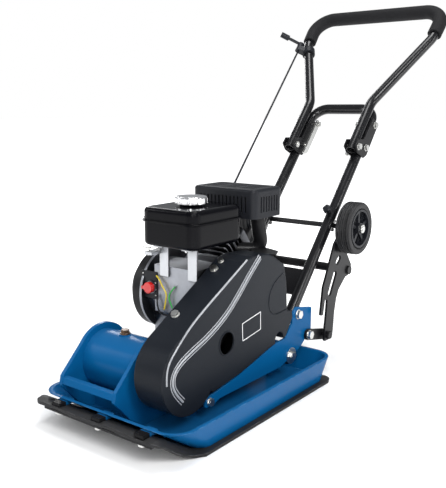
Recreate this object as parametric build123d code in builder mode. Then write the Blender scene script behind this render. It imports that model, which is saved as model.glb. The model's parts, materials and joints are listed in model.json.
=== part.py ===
"""Petrol vibratory plate compactor with a rubber paving pad, a folding handle and stowed wheels.

Frame: the origin is on the ground under the middle of the base plate. +X is the belt-guard
side, -Y is the front (the working direction) and +Z is up. Sizes are in millimetres.
"""

import math
import os

from build123d import *

os.makedirs("parts", exist_ok=True)

# ---------------------------------------------------------------- driving sizes
# base plate and rubber pad
plate_width = 350.0
plate_length = 530.0
plate_height = 56.0
plate_wall = 7.0
plate_corner = 46.0
slope_front = 82.0
slope_rear = 15.0
slope_side = 17.0
pad_thickness = 6.0
pad_width = 340.0
pad_curl_drop = 13.0
pad_overhang = 19.0
pad_bar_width = 22.0
pad_bar_thickness = 4.0
pad_bar_length = 270.0
pad_bolt_pitch = 105.0

# bolts
bolt_clearance = 0.5
m6 = 3.0
m8 = 4.0
m10 = 5.0

# exciter
exciter_y = -140.0
exciter_z = 105.0
exciter_left = -124.0
exciter_right = 9.0
drum_radius = 57.0
drum_wall = 9.0
cheek_thickness = 8.0
cheek_radius = 69.0
tie_bar_reach = 106.0
tie_bar_drop = 21.0
exciter_shaft_radius = 14.0
bearing_width = 18.0
running_gap = 0.05
moving_gap = 1.0

# console: deck, side plates and rubber buffers
side_inner_x = 100.0
side_thickness = 5.0
side_bottom_z = 49.0
rear_buffer_y = 192.0
rear_buffer_z = 63.0
rear_buffer_radius = 20.0
front_buffer_y = -92.0
front_buffer_z = 52.0
front_buffer_radius = 13.0
lug_x = 60.0
lug_thickness = 6.0
deck_front_y = -60.0
deck_rear_y = 160.0
deck_bottom_z = 60.0
deck_thickness = 6.0
rail_height = 26.0
rail_width = 30.0
rail_wall = 4.0

# engine
crank_y = 26.0
crank_z = 218.0
case_left = -97.0
case_right = 38.0
case_radius = 66.0
case_wall = 12.0
shaft_radius = 13.0
crank_throw = 23.0
web_radius = 40.0
cylinder_x = -24.0
cylinder_tilt = 38.0
cylinder_base = 67.0
cylinder_top = 118.0
head_top = 142.0
rocker_top = 165.0
bore_radius = 26.0
fin_size = 84.0
fin_thickness = 2.6
fin_count = 5
piston_height = 26.0
piston_middle = 81.5
shroud_radius = 85.0
shroud_depth = 26.0
recoil_radius = 64.0
recoil_depth = 20.0
sheet = 2.5
flywheel_radius = 72.0
reel_radius = 44.0

# fuel tank
tank_width = 136.0
tank_length = 153.0
tank_bottom_z = 329.0
tank_top_z = 404.0
tank_x = -4.0
tank_y = -8.5
tank_wall = 2.5
seam_drop = 27.0
cap_y = -12.0
cap_radius = 32.0
cap_height = 18.0
neck_radius = 20.0

# muffler and its guard
muffler_x = -3.0
muffler_y = 139.0
muffler_bottom_z = 370.0
muffler_guard_width = 162.0
muffler_guard_length = 102.0
muffler_guard_height = 60.0
pipe_radius = 15.0

# belt drive and its guard
guard_left = 42.0
guard_right = 108.0
guard_wall = 3.0
guard_low_y = -150.0
guard_low_z = 124.0
guard_low_radius = 76.0
inspection_y = -43.5
inspection_z = 154.0
inspection_radius = 22.0
exciter_pulley_radius = 42.0
clutch_drum_radius = 36.0
pulley_left = 58.0
pulley_width = 26.0
belt_width = 13.0
groove_depth = 9.0

# handle
handle_lean = 41.2
ear_y = 217.0
ear_z = 150.0
lower_tube = 25.0
upper_tube = 24.0
tube_wall = 2.0
lower_handle_length = 581.0
lower_bend = 40.0
pivot_along = 439.0
upper_rise = 31.0
spread_start = 575.0
spread_end = 785.0
upper_handle_length = 880.0
grip_half_width = 178.0
grip_corner_x = 184.0
grip_bend = 50.0
grip_diameter = 35.0
bracket_plate = 3.0
clamp_bolt_low = 460.0
clamp_bolt_high = 530.0

# transport wheels
wheel_radius = 60.0
wheel_width = 35.0
wheel_inner_x = 125.0
rim_radius = 44.0
axle_radius = 6.0
axle_along = 244.0
link_y = 256.0
link_z = 95.0
carrier_y = 322.0
carrier_z = 80.0
link_height = 25.0
link_thickness = 5.0
link_x = 106.0
carrier_x = 117.0
carrier_thickness = 5.0
cross_tube_y = 412.0
cross_tube_z = 216.0
cross_tube_radius = 10.0

# ---------------------------------------------------------------- worked-out places
sole_z = pad_thickness
rim_z = sole_z + plate_height
floor_z = sole_z + plate_wall
front_y = -plate_length / 2
rear_y = plate_length / 2
lean = math.radians(handle_lean)
tilt = math.radians(cylinder_tilt)
side_outer_x = side_inner_x + side_thickness
handle_x = side_inner_x - lower_tube / 2 - 1.5
axle_drop = lower_tube / 2 + axle_radius + moving_gap


def across(x):
    """Drawing plane square to X: local x runs along +Y and local y along +Z."""
    return Plane.YZ.offset(x)


def handle_face(rise):
    """Plane along the handle tubes: local x is +X and local y runs up the tubes."""
    return Plane(
        origin=(0, ear_y - math.cos(lean) * rise, ear_z + math.sin(lean) * rise),
        x_dir=(1, 0, 0),
        z_dir=(0, -math.cos(lean), math.sin(lean)),
    )


def handle_side(x):
    """Plane square to X at the ear bolt: local x runs up the tubes, local y is the rise off them."""
    return Plane(origin=(x, ear_y, ear_z), x_dir=(0, math.sin(lean), math.cos(lean)), z_dir=(1, 0, 0))


def handle_point(x, along, rise):
    """World place of a point given along the handle tubes and off their plane."""
    return (
        x,
        ear_y + math.sin(lean) * along - math.cos(lean) * rise,
        ear_z + math.cos(lean) * along + math.sin(lean) * rise,
    )


def bore_plane(distance):
    """Plane square to the cylinder bore at a distance from the crankshaft."""
    return Plane(
        origin=(cylinder_x, crank_y + math.cos(tilt) * distance, crank_z + math.sin(tilt) * distance),
        x_dir=(1, 0, 0),
        z_dir=(0, math.cos(tilt), math.sin(tilt)),
    )


def disc(plane, centre, radius, thickness, mode=Mode.ADD):
    """A round disc standing on a plane."""
    with BuildSketch(plane) as profile:
        with Locations(centre):
            Circle(radius)
    extrude(profile.sketch, amount=thickness, mode=mode)


def hexagon(plane, centre, width, thickness, mode=Mode.ADD):
    """A hexagonal head standing on a plane."""
    with BuildSketch(plane) as profile:
        with Locations(centre):
            RegularPolygon(width / 2, 6, major_radius=False)
    extrude(profile.sketch, amount=thickness, mode=mode)


def bolt(plane, centre, radius, length, washer=0.0):
    """A hex bolt whose head or washer seats on a plane and whose shank runs behind it."""
    washer_thickness = radius * 0.35
    disc(plane, centre, max(washer, radius * 2.1), washer_thickness)
    hexagon(plane.offset(washer_thickness), centre, radius * 3.3, radius * 1.25)
    disc(plane, centre, radius, -length)


def outline(plane, points, thickness, rounding=0.0, mode=Mode.ADD):
    """A flat plate cut to an outline, with all its corners rounded alike."""
    with BuildSketch(plane) as profile:
        Polygon(*points, align=None)
        if rounding > 0:
            fillet(profile.vertices(), rounding)
    extrude(profile.sketch, amount=thickness, mode=mode)


def block(x0, x1, y0, y1, z0, z1, mode=Mode.ADD):
    """A plain block between two corners."""
    with Locations(((x0 + x1) / 2, (y0 + y1) / 2, (z0 + z1) / 2)):
        Box(x1 - x0, y1 - y0, z1 - z0, mode=mode)


def rounded_block(x0, x1, y0, y1, z0, z1, corner, edge):
    """A block with round upright corners and rounded top and bottom edges."""
    with BuildPart() as solid:
        with BuildSketch(Plane.XY.offset(z0)):
            with Locations(((x0 + x1) / 2, (y0 + y1) / 2)):
                RectangleRounded(x1 - x0, y1 - y0, corner)
        extrude(amount=z1 - z0)
        fillet(solid.edges().group_by(Axis.Z)[-1], edge)
        fillet(solid.edges().group_by(Axis.Z)[0], edge)
    return solid.part


def slope_y(z):
    """Outer face of the base plate's front slope at a height."""
    return front_y + slope_front * (rim_z - z) / plate_height


# ---------------------------------------------------------------- base plate
sole_width = plate_width - 2 * slope_side
sole_length = plate_length - slope_front - slope_rear
sole_y = (slope_front - slope_rear) / 2
pad_shelf_z = rim_z - pad_curl_drop
pad_edge_y = front_y - pad_overhang
pad_lug_thickness = 7.0
pad_lug_width = 22.0
pad_lug_cover = 1.0

with BuildPart() as base_plate:
    with BuildSketch(Plane.XY.offset(sole_z)):
        with Locations((0, sole_y)):
            RectangleRounded(sole_width, sole_length, plate_corner - slope_side)
    with BuildSketch(Plane.XY.offset(rim_z)):
        RectangleRounded(plate_width, plate_length, plate_corner)
    loft(ruled=True)
    with BuildSketch(Plane.XY.offset(floor_z)):
        with Locations((0, sole_y)):
            RectangleRounded(sole_width - plate_wall, sole_length - plate_wall, plate_corner - slope_side)
    with BuildSketch(Plane.XY.offset(rim_z + 1)):
        RectangleRounded(
            plate_width - 2 * plate_wall,
            plate_length - 2 * plate_wall,
            plate_corner - plate_wall,
        )
    loft(ruled=True, mode=Mode.SUBTRACT)
    for side in (-1, 1):
        lug_face = lug_x if side > 0 else -lug_x - lug_thickness
        lug_face -= lug_thickness if side > 0 else -lug_thickness
        for y, z, radius in (
            (front_buffer_y, front_buffer_z, front_buffer_radius + 1),
            (rear_buffer_y, rear_buffer_z, rear_buffer_radius + 1),
        ):
            disc(across(lug_face), (y, z), radius, lug_thickness)
            block(lug_face, lug_face + lug_thickness, y - radius, y + radius, floor_z - 1, z)
    for index in (-1, 0, 1):
        middle = index * pad_bolt_pitch
        block(
            middle - pad_lug_width / 2,
            middle + pad_lug_width / 2,
            pad_edge_y + 2,
            slope_y(pad_shelf_z + pad_thickness / 2) + plate_wall / 2,
            pad_shelf_z + pad_thickness / 2,
            pad_shelf_z + pad_thickness / 2 + pad_lug_thickness,
        )
        disc(
            Plane.XY.offset(pad_shelf_z),
            (middle, pad_edge_y + pad_bar_width / 2),
            m8 + bolt_clearance,
            pad_thickness / 2 + pad_lug_thickness - pad_lug_cover,
            Mode.SUBTRACT,
        )
base_plate.part.label = "base_plate"
export_step(base_plate.part, "parts/base_plate.step")

# ---------------------------------------------------------------- rubber paving pad
pad_rise_y = slope_y(pad_shelf_z + pad_thickness) - 3
pad_start_y = sole_y - sole_length / 2 - 8
pad_mid_z = pad_thickness / 2
pad_bolt_y = pad_edge_y + pad_bar_width / 2

with BuildPart() as rubber_pad:
    with BuildSketch(Plane.YZ):
        with BuildLine():
            FilletPolyline(
                (rear_y, pad_mid_z),
                (pad_start_y, pad_mid_z),
                (pad_rise_y, pad_shelf_z),
                (pad_edge_y, pad_shelf_z),
                radius=12,
            )
        trace(line_width=pad_thickness)
    extrude(amount=pad_width / 2, both=True)
    for index in (-1, 0, 1):
        disc(
            Plane.XY.offset(pad_shelf_z - pad_thickness),
            (index * pad_bolt_pitch, pad_bolt_y),
            m8 + bolt_clearance,
            2 * pad_thickness,
            Mode.SUBTRACT,
        )
rubber_pad.part.label = "rubber_pad"
export_step(rubber_pad.part, "parts/rubber_pad.step")

bar_top_z = pad_shelf_z - pad_thickness / 2
with BuildPart() as pad_clamp_bar:
    block(
        -pad_bar_length / 2,
        pad_bar_length / 2,
        pad_edge_y,
        pad_edge_y + pad_bar_width,
        bar_top_z - pad_bar_thickness,
        bar_top_z,
    )
    for index in (-1, 0, 1):
        disc(
            Plane.XY.offset(bar_top_z - pad_bar_thickness),
            (index * pad_bolt_pitch, pad_bolt_y),
            m8 + bolt_clearance,
            pad_bar_thickness,
            Mode.SUBTRACT,
        )
pad_clamp_bar.part.label = "pad_clamp_bar"
export_step(pad_clamp_bar.part, "parts/pad_clamp_bar.step")

pad_grip = pad_bar_thickness + pad_thickness + pad_lug_thickness - 2 * pad_lug_cover
with BuildPart() as pad_bolts:
    under_bar = Plane(origin=(0, 0, bar_top_z - pad_bar_thickness), x_dir=(1, 0, 0), z_dir=(0, 0, -1))
    for index in (-1, 0, 1):
        bolt(under_bar, (index * pad_bolt_pitch, -pad_bolt_y), m8, pad_grip)
pad_bolts.part.label = "pad_bolts"
export_step(pad_bolts.part, "parts/pad_bolts.step")

# ---------------------------------------------------------------- exciter
cheek_foot_y = sole_y - sole_length / 2 - slope_front * 0.36
tie_y = exciter_y - tie_bar_reach
tie_z = exciter_z - tie_bar_drop
cheek_rear_y = exciter_y + cheek_radius


def tray_floor_z(y):
    """Height of the tray's inside at a place along the plate: the floor, then the front slope."""
    inner_sole_front = sole_y - (sole_length - plate_wall) / 2
    inner_rim_front = front_y + plate_wall
    share = (inner_sole_front - y) / (inner_sole_front - inner_rim_front)
    return floor_z + max(0.0, share) * (rim_z + 1 - floor_z)


filler_inset = 60.0
filler_radius = 10.0
with BuildPart() as exciter_housing:
    disc(across(exciter_left), (exciter_y, exciter_z), drum_radius, exciter_right - exciter_left)
    block(
        exciter_left,
        exciter_right,
        exciter_y - drum_radius / 2,
        exciter_y + drum_radius / 3,
        floor_z,
        exciter_z,
    )
    disc(
        Plane.XY.offset(exciter_z + drum_radius - drum_wall / 2),
        (exciter_left + filler_inset, exciter_y),
        filler_radius + 2,
        drum_wall / 2 + 1,
    )
    disc(
        across(exciter_left),
        (exciter_y, exciter_z),
        drum_radius - drum_wall,
        exciter_right - exciter_left,
        Mode.SUBTRACT,
    )
exciter_housing.part.label = "exciter_housing"
export_step(exciter_housing.part, "parts/exciter_housing.step")

bearing_outer = drum_radius - drum_wall
with BuildPart() as exciter_cheeks:
    for face in (exciter_left - cheek_thickness, exciter_right):
        disc(across(face), (exciter_y, exciter_z), cheek_radius, cheek_thickness)
        outline(
            across(face),
            [
                (exciter_y, exciter_z + cheek_radius),
                (exciter_y - cheek_radius * 0.62, exciter_z + cheek_radius * 0.78),
                (tie_y, tie_z + 12),
                (tie_y - 4, tie_z - 6),
                (cheek_foot_y - 4, tray_floor_z(cheek_foot_y) + 6),
                (cheek_foot_y, tray_floor_z(cheek_foot_y) + 0.5),
                (sole_y - (sole_length - plate_wall) / 2 + 1, floor_z),
                (cheek_rear_y, floor_z),
                (cheek_rear_y, exciter_z - 12),
            ],
            cheek_thickness,
        )
        disc(across(face), (exciter_y, exciter_z), exciter_shaft_radius + 6, cheek_thickness, Mode.SUBTRACT)
        block(
            face - 1,
            face + cheek_thickness + 1,
            front_y,
            cheek_rear_y + 1,
            0,
            floor_z,
            Mode.SUBTRACT,
        )
    outline(
        across(exciter_left),
        [(tie_y - 3, tie_z - 5), (tie_y + 1, tie_z + 9), (tie_y + 13, tie_z + 9), (tie_y + 15, tie_z - 3)],
        exciter_right - exciter_left,
        2.0,
    )
exciter_cheeks.part.label = "exciter_cheeks"
export_step(exciter_cheeks.part, "parts/exciter_cheeks.step")

with BuildPart() as exciter_end_covers:
    disc(across(exciter_left - cheek_thickness - 10), (exciter_y, exciter_z), 38, 10)
    disc(
        across(exciter_left - cheek_thickness - 7),
        (exciter_y, exciter_z),
        exciter_shaft_radius + 4,
        7,
        Mode.SUBTRACT,
    )
    with BuildSketch(across(exciter_right + cheek_thickness)):
        with Locations((exciter_y, exciter_z)):
            Circle(38)
            Circle(exciter_shaft_radius + moving_gap, mode=Mode.SUBTRACT)
    extrude(amount=8)
exciter_end_covers.part.label = "exciter_end_covers"
export_step(exciter_end_covers.part, "parts/exciter_end_covers.step")

left_bearing_x = exciter_left + 4
right_bearing_x = exciter_right - 4 - bearing_width
with BuildPart() as exciter_bearings:
    for face in (left_bearing_x, right_bearing_x):
        disc(across(face), (exciter_y, exciter_z), bearing_outer, bearing_width)
        disc(
            across(face),
            (exciter_y, exciter_z),
            exciter_shaft_radius + running_gap,
            bearing_width,
            Mode.SUBTRACT,
        )
exciter_bearings.part.label = "exciter_bearings"
export_step(exciter_bearings.part, "parts/exciter_bearings.step")

shaft_left = exciter_left - 2
with BuildPart() as exciter_shaft:
    disc(
        across(shaft_left),
        (exciter_y, exciter_z),
        exciter_shaft_radius,
        pulley_left + pulley_width + 8 - shaft_left,
    )
exciter_shaft.part.label = "exciter_shaft"
export_step(exciter_shaft.part, "parts/exciter_shaft.step")

weight_left = left_bearing_x + bearing_width + 5
weight_right = right_bearing_x - 5
with BuildPart() as eccentric_weight:
    with BuildSketch(across(weight_left)):
        with Locations((exciter_y, exciter_z)):
            Circle(bearing_outer - 4)
        with Locations((exciter_y, exciter_z + bearing_outer / 2 + 6)):
            Rectangle(2 * bearing_outer, bearing_outer, mode=Mode.SUBTRACT)
        with Locations((exciter_y, exciter_z)):
            Circle(exciter_shaft_radius + 8)
            Circle(exciter_shaft_radius, mode=Mode.SUBTRACT)
    extrude(amount=weight_right - weight_left)
eccentric_weight.part.label = "eccentric_weight"
export_step(eccentric_weight.part, "parts/eccentric_weight.step")

belt_left = pulley_left + (pulley_width - belt_width) / 2


def pulley(y, z, radius, bore):
    """A grooved pulley rim with its bore, standing in the belt's plane."""
    disc(across(pulley_left), (y, z), radius, pulley_width)
    with BuildSketch(across(belt_left - moving_gap)) as groove:
        with Locations((y, z)):
            Circle(radius + 1)
            Circle(radius - groove_depth, mode=Mode.SUBTRACT)
    extrude(groove.sketch, amount=belt_width + 2 * moving_gap, mode=Mode.SUBTRACT)
    disc(across(pulley_left), (y, z), bore, pulley_width, Mode.SUBTRACT)


with BuildPart() as exciter_pulley:
    pulley(exciter_y, exciter_z, exciter_pulley_radius, exciter_shaft_radius)
    for turn in range(5):
        angle = math.radians(72 * turn)
        spoke_centre = (exciter_y + 23 * math.cos(angle), exciter_z + 23 * math.sin(angle))
        disc(across(pulley_left), spoke_centre, 5, pulley_width, Mode.SUBTRACT)
exciter_pulley.part.label = "exciter_pulley"
export_step(exciter_pulley.part, "parts/exciter_pulley.step")

with BuildPart() as drive_belt:
    with BuildSketch(across(belt_left)):
        with Locations((exciter_y, exciter_z)):
            Circle(exciter_pulley_radius)
        with Locations((crank_y, crank_z)):
            Circle(clutch_drum_radius)
        make_hull()
    extrude(amount=belt_width)
    with BuildSketch(across(belt_left)):
        with Locations((exciter_y, exciter_z)):
            Circle(exciter_pulley_radius - groove_depth + moving_gap)
        with Locations((crank_y, crank_z)):
            Circle(clutch_drum_radius - groove_depth + moving_gap)
        make_hull()
    extrude(amount=belt_width, mode=Mode.SUBTRACT)
drive_belt.part.label = "drive_belt"
export_step(drive_belt.part, "parts/drive_belt.step")

# ---------------------------------------------------------------- console
side_outline = [
    (front_buffer_y - 12, side_bottom_z - 6),
    (front_buffer_y + 14, side_bottom_z - 6),
    (front_buffer_y + 30, side_bottom_z),
    (deck_rear_y - 8, side_bottom_z),
    (rear_buffer_y + 38, rear_buffer_z + 9),
    (link_y + 18, link_z + 8),
    (link_y + 18, ear_z + 4),
    (ear_y - 4, ear_z + 17),
    (ear_y - 22, ear_z + 8),
    (ear_y - 22, ear_z - 16),
    (ear_y - 50, ear_z - 42),
    (ear_y - 96, ear_z - 44),
    (ear_y - 117, ear_z - 50),
    (0, deck_bottom_z + 17),
    (front_buffer_y + 14, front_buffer_z + 12),
    (front_buffer_y - 12, front_buffer_z + 8),
]
with BuildPart() as console_sides:
    for side in (-1, 1):
        face = side_inner_x if side > 0 else -side_outer_x
        outline(across(face), side_outline, side_thickness, 3.0)
        for y, z, radius in (
            (front_buffer_y, front_buffer_z, m8),
            (rear_buffer_y, rear_buffer_z, m10),
            (ear_y, ear_z, m10),
            (link_y, link_z, m10),
        ):
            disc(across(face), (y, z), radius + bolt_clearance, side_thickness, Mode.SUBTRACT)
console_sides.part.label = "console_sides"
export_step(console_sides.part, "parts/console_sides.step")

deck_top_z = deck_bottom_z + deck_thickness
rail_top_z = deck_top_z + rail_height
rail_centres = (cylinder_x - 46, cylinder_x + 38)
foot_front_y = crank_y - 62
foot_rear_y = crank_y + 64
with BuildPart() as engine_deck:
    block(-side_inner_x, side_inner_x, deck_front_y, deck_rear_y, deck_bottom_z, deck_top_z)
    for centre in rail_centres:
        block(
            centre - rail_width / 2,
            centre + rail_width / 2,
            foot_front_y - 18,
            foot_rear_y + 18,
            deck_top_z,
            rail_top_z,
        )
        block(
            centre - rail_width / 2 + rail_wall,
            centre + rail_width / 2 - rail_wall,
            foot_front_y - 18,
            foot_rear_y + 18,
            deck_top_z,
            rail_top_z - rail_wall,
            Mode.SUBTRACT,
        )
        for y in (foot_front_y, foot_rear_y):
            disc(
                Plane.XY.offset(rail_top_z - rail_wall),
                (centre, y),
                m8 + bolt_clearance,
                rail_wall,
                Mode.SUBTRACT,
            )
engine_deck.part.label = "engine_deck"
export_step(engine_deck.part, "parts/engine_deck.step")

with BuildPart() as rubber_buffers:
    for side in (-1, 1):
        face = lug_x if side > 0 else -side_inner_x
        for y, z, radius, thread in (
            (front_buffer_y, front_buffer_z, front_buffer_radius, m8),
            (rear_buffer_y, rear_buffer_z, rear_buffer_radius, m10),
        ):
            disc(across(face), (y, z), radius, side_inner_x - lug_x)
            disc(across(face), (y, z), thread + bolt_clearance, side_inner_x - lug_x, Mode.SUBTRACT)
rubber_buffers.part.label = "rubber_buffers"
export_step(rubber_buffers.part, "parts/rubber_buffers.step")

foot_thickness = 10.0
with BuildPart() as console_bolts:
    for side in (-1, 1):
        seat = Plane(origin=(side * side_outer_x, 0, 0), x_dir=(0, side, 0), z_dir=(side, 0, 0))
        buffer_shank = side_outer_x - lug_x - 2
        bolt(seat, (side * front_buffer_y, front_buffer_z), m8, buffer_shank)
        bolt(seat, (side * rear_buffer_y, rear_buffer_z), m10, buffer_shank, washer=18)
    for centre in rail_centres:
        for y in (foot_front_y, foot_rear_y):
            bolt(Plane.XY.offset(rail_top_z + foot_thickness), (centre, y), m8, foot_thickness + 12)
console_bolts.part.label = "console_bolts"
export_step(console_bolts.part, "parts/console_bolts.step")

# ---------------------------------------------------------------- belt guard
low_angle = math.radians(117)
guard_outline = [
    (
        guard_low_y + guard_low_radius * math.cos(low_angle),
        guard_low_z + guard_low_radius * math.sin(low_angle),
    ),
    (crank_y - 17, crank_z + 83),
    (crank_y + 14, crank_z + 89),
    (crank_y + 76, crank_z + 85),
    (crank_y + 126, crank_z + 54),
    (crank_y + 137, crank_z + 14),
    (crank_y + 141, crank_z - 48),
    (crank_y + 162, crank_z - 53),
    (crank_y + 163, crank_z - 68),
    (crank_y + 137, crank_z - 104),
    (crank_y + 74, crank_z - 113),
    (crank_y - 21, crank_z - 136),
    (front_buffer_y + 7, front_buffer_z + 18),
    (guard_low_y, guard_low_z),
]


edge_slope = math.atan2(guard_outline[1][1] - guard_outline[0][1], guard_outline[1][0] - guard_outline[0][0])
guard_seats = []
for share, thread in ((0.27, m8), (0.86, m8), (0.97, m6)):
    seat_y = guard_outline[0][0] + (guard_outline[1][0] - guard_outline[0][0]) * share
    seat_z = guard_outline[0][1] + (guard_outline[1][1] - guard_outline[0][1]) * share
    guard_seats.append(
        (
            Plane(
                origin=(guard_left + 16, seat_y, seat_z),
                x_dir=(1, 0, 0),
                z_dir=(0, -math.sin(edge_slope), math.cos(edge_slope)),
            ),
            thread,
        )
    )


def guard_profile():
    """The guard's outline, with the notch that clears the console plate."""
    Polygon(*guard_outline, align=None)
    with Locations((guard_low_y, guard_low_z)):
        Circle(guard_low_radius)
    with Locations((crank_y + 113, crank_z - 104)):
        Circle(16, mode=Mode.SUBTRACT)


with BuildPart() as belt_guard:
    with BuildSketch(across(guard_left)) as guard_face:
        guard_profile()
    extrude(amount=guard_right - guard_left)
    with BuildSketch(across(guard_left)):
        add(guard_face.sketch_local)
        offset(amount=-guard_wall, mode=Mode.REPLACE)
    extrude(amount=guard_right - guard_wall - guard_left, mode=Mode.SUBTRACT)
    disc(
        across(guard_right - 2 * guard_wall),
        (inspection_y, inspection_z),
        inspection_radius,
        3 * guard_wall,
        Mode.SUBTRACT,
    )
    for seat, thread in guard_seats:
        disc(seat, (0, 0), thread + bolt_clearance, -2 * guard_wall, Mode.SUBTRACT)
belt_guard.part.label = "belt_guard"
export_step(belt_guard.part, "parts/belt_guard.step")

with BuildPart() as guard_backplate:
    with BuildSketch(across(guard_left)):
        add(guard_face.sketch_local)
        offset(amount=-guard_wall - 0.5, mode=Mode.REPLACE)
        with Locations((crank_y, crank_z)):
            Circle(shaft_radius + 6, mode=Mode.SUBTRACT)
        with Locations((exciter_y, exciter_z)):
            Circle(exciter_shaft_radius + 6, mode=Mode.SUBTRACT)
    extrude(amount=guard_wall)
guard_backplate.part.label = "guard_backplate"
export_step(guard_backplate.part, "parts/guard_backplate.step")

# ---------------------------------------------------------------- engine
pedestal_depth = 92.0
foot_y0 = crank_y - 76
foot_y1 = crank_y + 80
deck_size = 84.0
flange_thickness = 6.0
case_front_y = crank_y - case_radius - 8
case_top_z = crank_z + 66
switch_x = cylinder_x - 54
switch_y = crank_y - 88
switch_z = crank_z + 18
switch_stem = 4.0
with BuildPart() as crankcase:
    disc(across(case_left), (crank_y, crank_z), case_radius, case_right - case_left)
    disc(across(case_left - flange_thickness), (crank_y, crank_z), shroud_radius, flange_thickness)
    block(
        case_left,
        case_right,
        crank_y - pedestal_depth / 2,
        crank_y + pedestal_depth / 2,
        rail_top_z + foot_thickness,
        crank_z,
    )
    block(case_left, case_right, foot_y0, foot_y1, rail_top_z, rail_top_z + foot_thickness)
    block(cylinder_x - 46, case_right, case_front_y, crank_y + 4, crank_z - 30, case_top_z)
    disc(
        Plane(origin=(switch_x, switch_y + 9.5, switch_z), x_dir=(1, 0, 0), z_dir=(0, 1, 0)),
        (0, 0),
        13,
        case_front_y - switch_y + 4,
    )
    disc(
        Plane(origin=(switch_x, switch_y + 9.5, switch_z), x_dir=(1, 0, 0), z_dir=(0, 1, 0)),
        (0, 0),
        switch_stem + running_gap,
        11,
        Mode.SUBTRACT,
    )
    with BuildSketch(bore_plane(30)) as bore_boss:
        Rectangle(deck_size, deck_size)
    extrude(bore_boss.sketch, amount=cylinder_base - 30)
    disc(across(case_right), (crank_y, crank_z), 32, guard_left - case_right)
    disc(
        across(case_left + case_wall),
        (crank_y, crank_z),
        case_radius - case_wall,
        case_right - case_left - 2 * case_wall,
        Mode.SUBTRACT,
    )
    disc(
        across(case_left - flange_thickness),
        (crank_y, crank_z),
        shaft_radius + running_gap,
        guard_left - case_left + flange_thickness,
        Mode.SUBTRACT,
    )
    disc(bore_plane(20), (0, 0), bore_radius + moving_gap, cylinder_base - 20, Mode.SUBTRACT)
    for centre in rail_centres:
        for y in (foot_front_y, foot_rear_y):
            disc(
                Plane.XY.offset(rail_top_z),
                (centre, y),
                m8 + bolt_clearance,
                foot_thickness,
                Mode.SUBTRACT,
            )
crankcase.part.label = "crankcase"
export_step(crankcase.part, "parts/crankcase.step")

fin_pitch = (cylinder_top - cylinder_base - fin_thickness) / (fin_count - 1)
with BuildPart() as cylinder:
    disc(bore_plane(cylinder_base), (0, 0), bore_radius + 8, cylinder_top - cylinder_base)
    for index in range(fin_count):
        with BuildSketch(bore_plane(cylinder_base + index * fin_pitch)) as fin:
            RectangleRounded(fin_size, fin_size, 8)
        extrude(fin.sketch, amount=fin_thickness)
    disc(
        bore_plane(cylinder_base),
        (0, 0),
        bore_radius + running_gap,
        cylinder_top - cylinder_base,
        Mode.SUBTRACT,
    )
cylinder.part.label = "cylinder"
export_step(cylinder.part, "parts/cylinder.step")

port_distance = (cylinder_top + head_top) / 2
plug_side = (fin_size - 16) / 2
plug_plane = Plane(
    origin=(
        cylinder_x,
        crank_y + math.cos(tilt) * port_distance + math.sin(tilt) * plug_side,
        crank_z + math.sin(tilt) * port_distance - math.cos(tilt) * plug_side,
    ),
    x_dir=(1, 0, 0),
    z_dir=(0, math.sin(tilt), -math.cos(tilt)),
)
port_y = crank_y + math.cos(tilt) * port_distance
port_z = crank_z + math.sin(tilt) * port_distance
with BuildPart() as cylinder_head:
    with BuildSketch(bore_plane(cylinder_top)) as head_core:
        RectangleRounded(fin_size - 16, fin_size - 16, 8)
    extrude(head_core.sketch, amount=head_top - cylinder_top)
    for distance in (cylinder_top, cylinder_top + 10, head_top - fin_thickness):
        with BuildSketch(bore_plane(distance)) as fin:
            RectangleRounded(fin_size, fin_size, 8)
        extrude(fin.sketch, amount=fin_thickness)
    with BuildSketch(bore_plane(head_top)) as cover:
        RectangleRounded(fin_size - 12, fin_size - 24, 10)
    extrude(cover.sketch, amount=rocker_top - head_top)
    disc(across(cylinder_x - fin_size / 2), (port_y, port_z), (head_top - cylinder_top) / 2 - 1, fin_size)
    disc(plug_plane, (0, 0), 13, 10, Mode.SUBTRACT)
cylinder_head.part.label = "cylinder_head"
export_step(cylinder_head.part, "parts/cylinder_head.step")

with BuildPart() as piston:
    disc(bore_plane(piston_middle - piston_height / 2), (0, 0), bore_radius, piston_height)
    disc(
        bore_plane(piston_middle - piston_height / 2),
        (0, 0),
        bore_radius - 5,
        piston_height - 7,
        Mode.SUBTRACT,
    )
piston.part.label = "piston"
export_step(piston.part, "parts/piston.step")


with BuildPart() as spark_plug:
    hexagon(plug_plane, (0, 0), 18, 8)
    disc(plug_plane.offset(8), (0, 0), 5, 10)
    disc(plug_plane.offset(18), (0, 0), 9, 20)
spark_plug.part.label = "spark_plug"
export_step(spark_plug.part, "parts/spark_plug.step")

web_thickness = 11.0
web_gap = 22.0
crank_left = case_left - flange_thickness - shroud_depth + 6
crank_end = pulley_left + pulley_width + 10
with BuildPart() as crankshaft:
    disc(across(crank_left), (crank_y, crank_z), shaft_radius, crank_end - crank_left)
    disc(
        across(cylinder_x - web_gap / 2),
        (crank_y, crank_z),
        web_radius + 5,
        web_gap,
        Mode.SUBTRACT,
    )
    for face in (cylinder_x - web_gap / 2 - web_thickness, cylinder_x + web_gap / 2):
        disc(across(face), (crank_y, crank_z), web_radius, web_thickness)
    disc(
        across(cylinder_x - web_gap / 2),
        (crank_y + crank_throw * math.sin(tilt), crank_z - crank_throw * math.cos(tilt)),
        11,
        web_gap,
    )
crankshaft.part.label = "crankshaft"
export_step(crankshaft.part, "parts/crankshaft.step")

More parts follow.
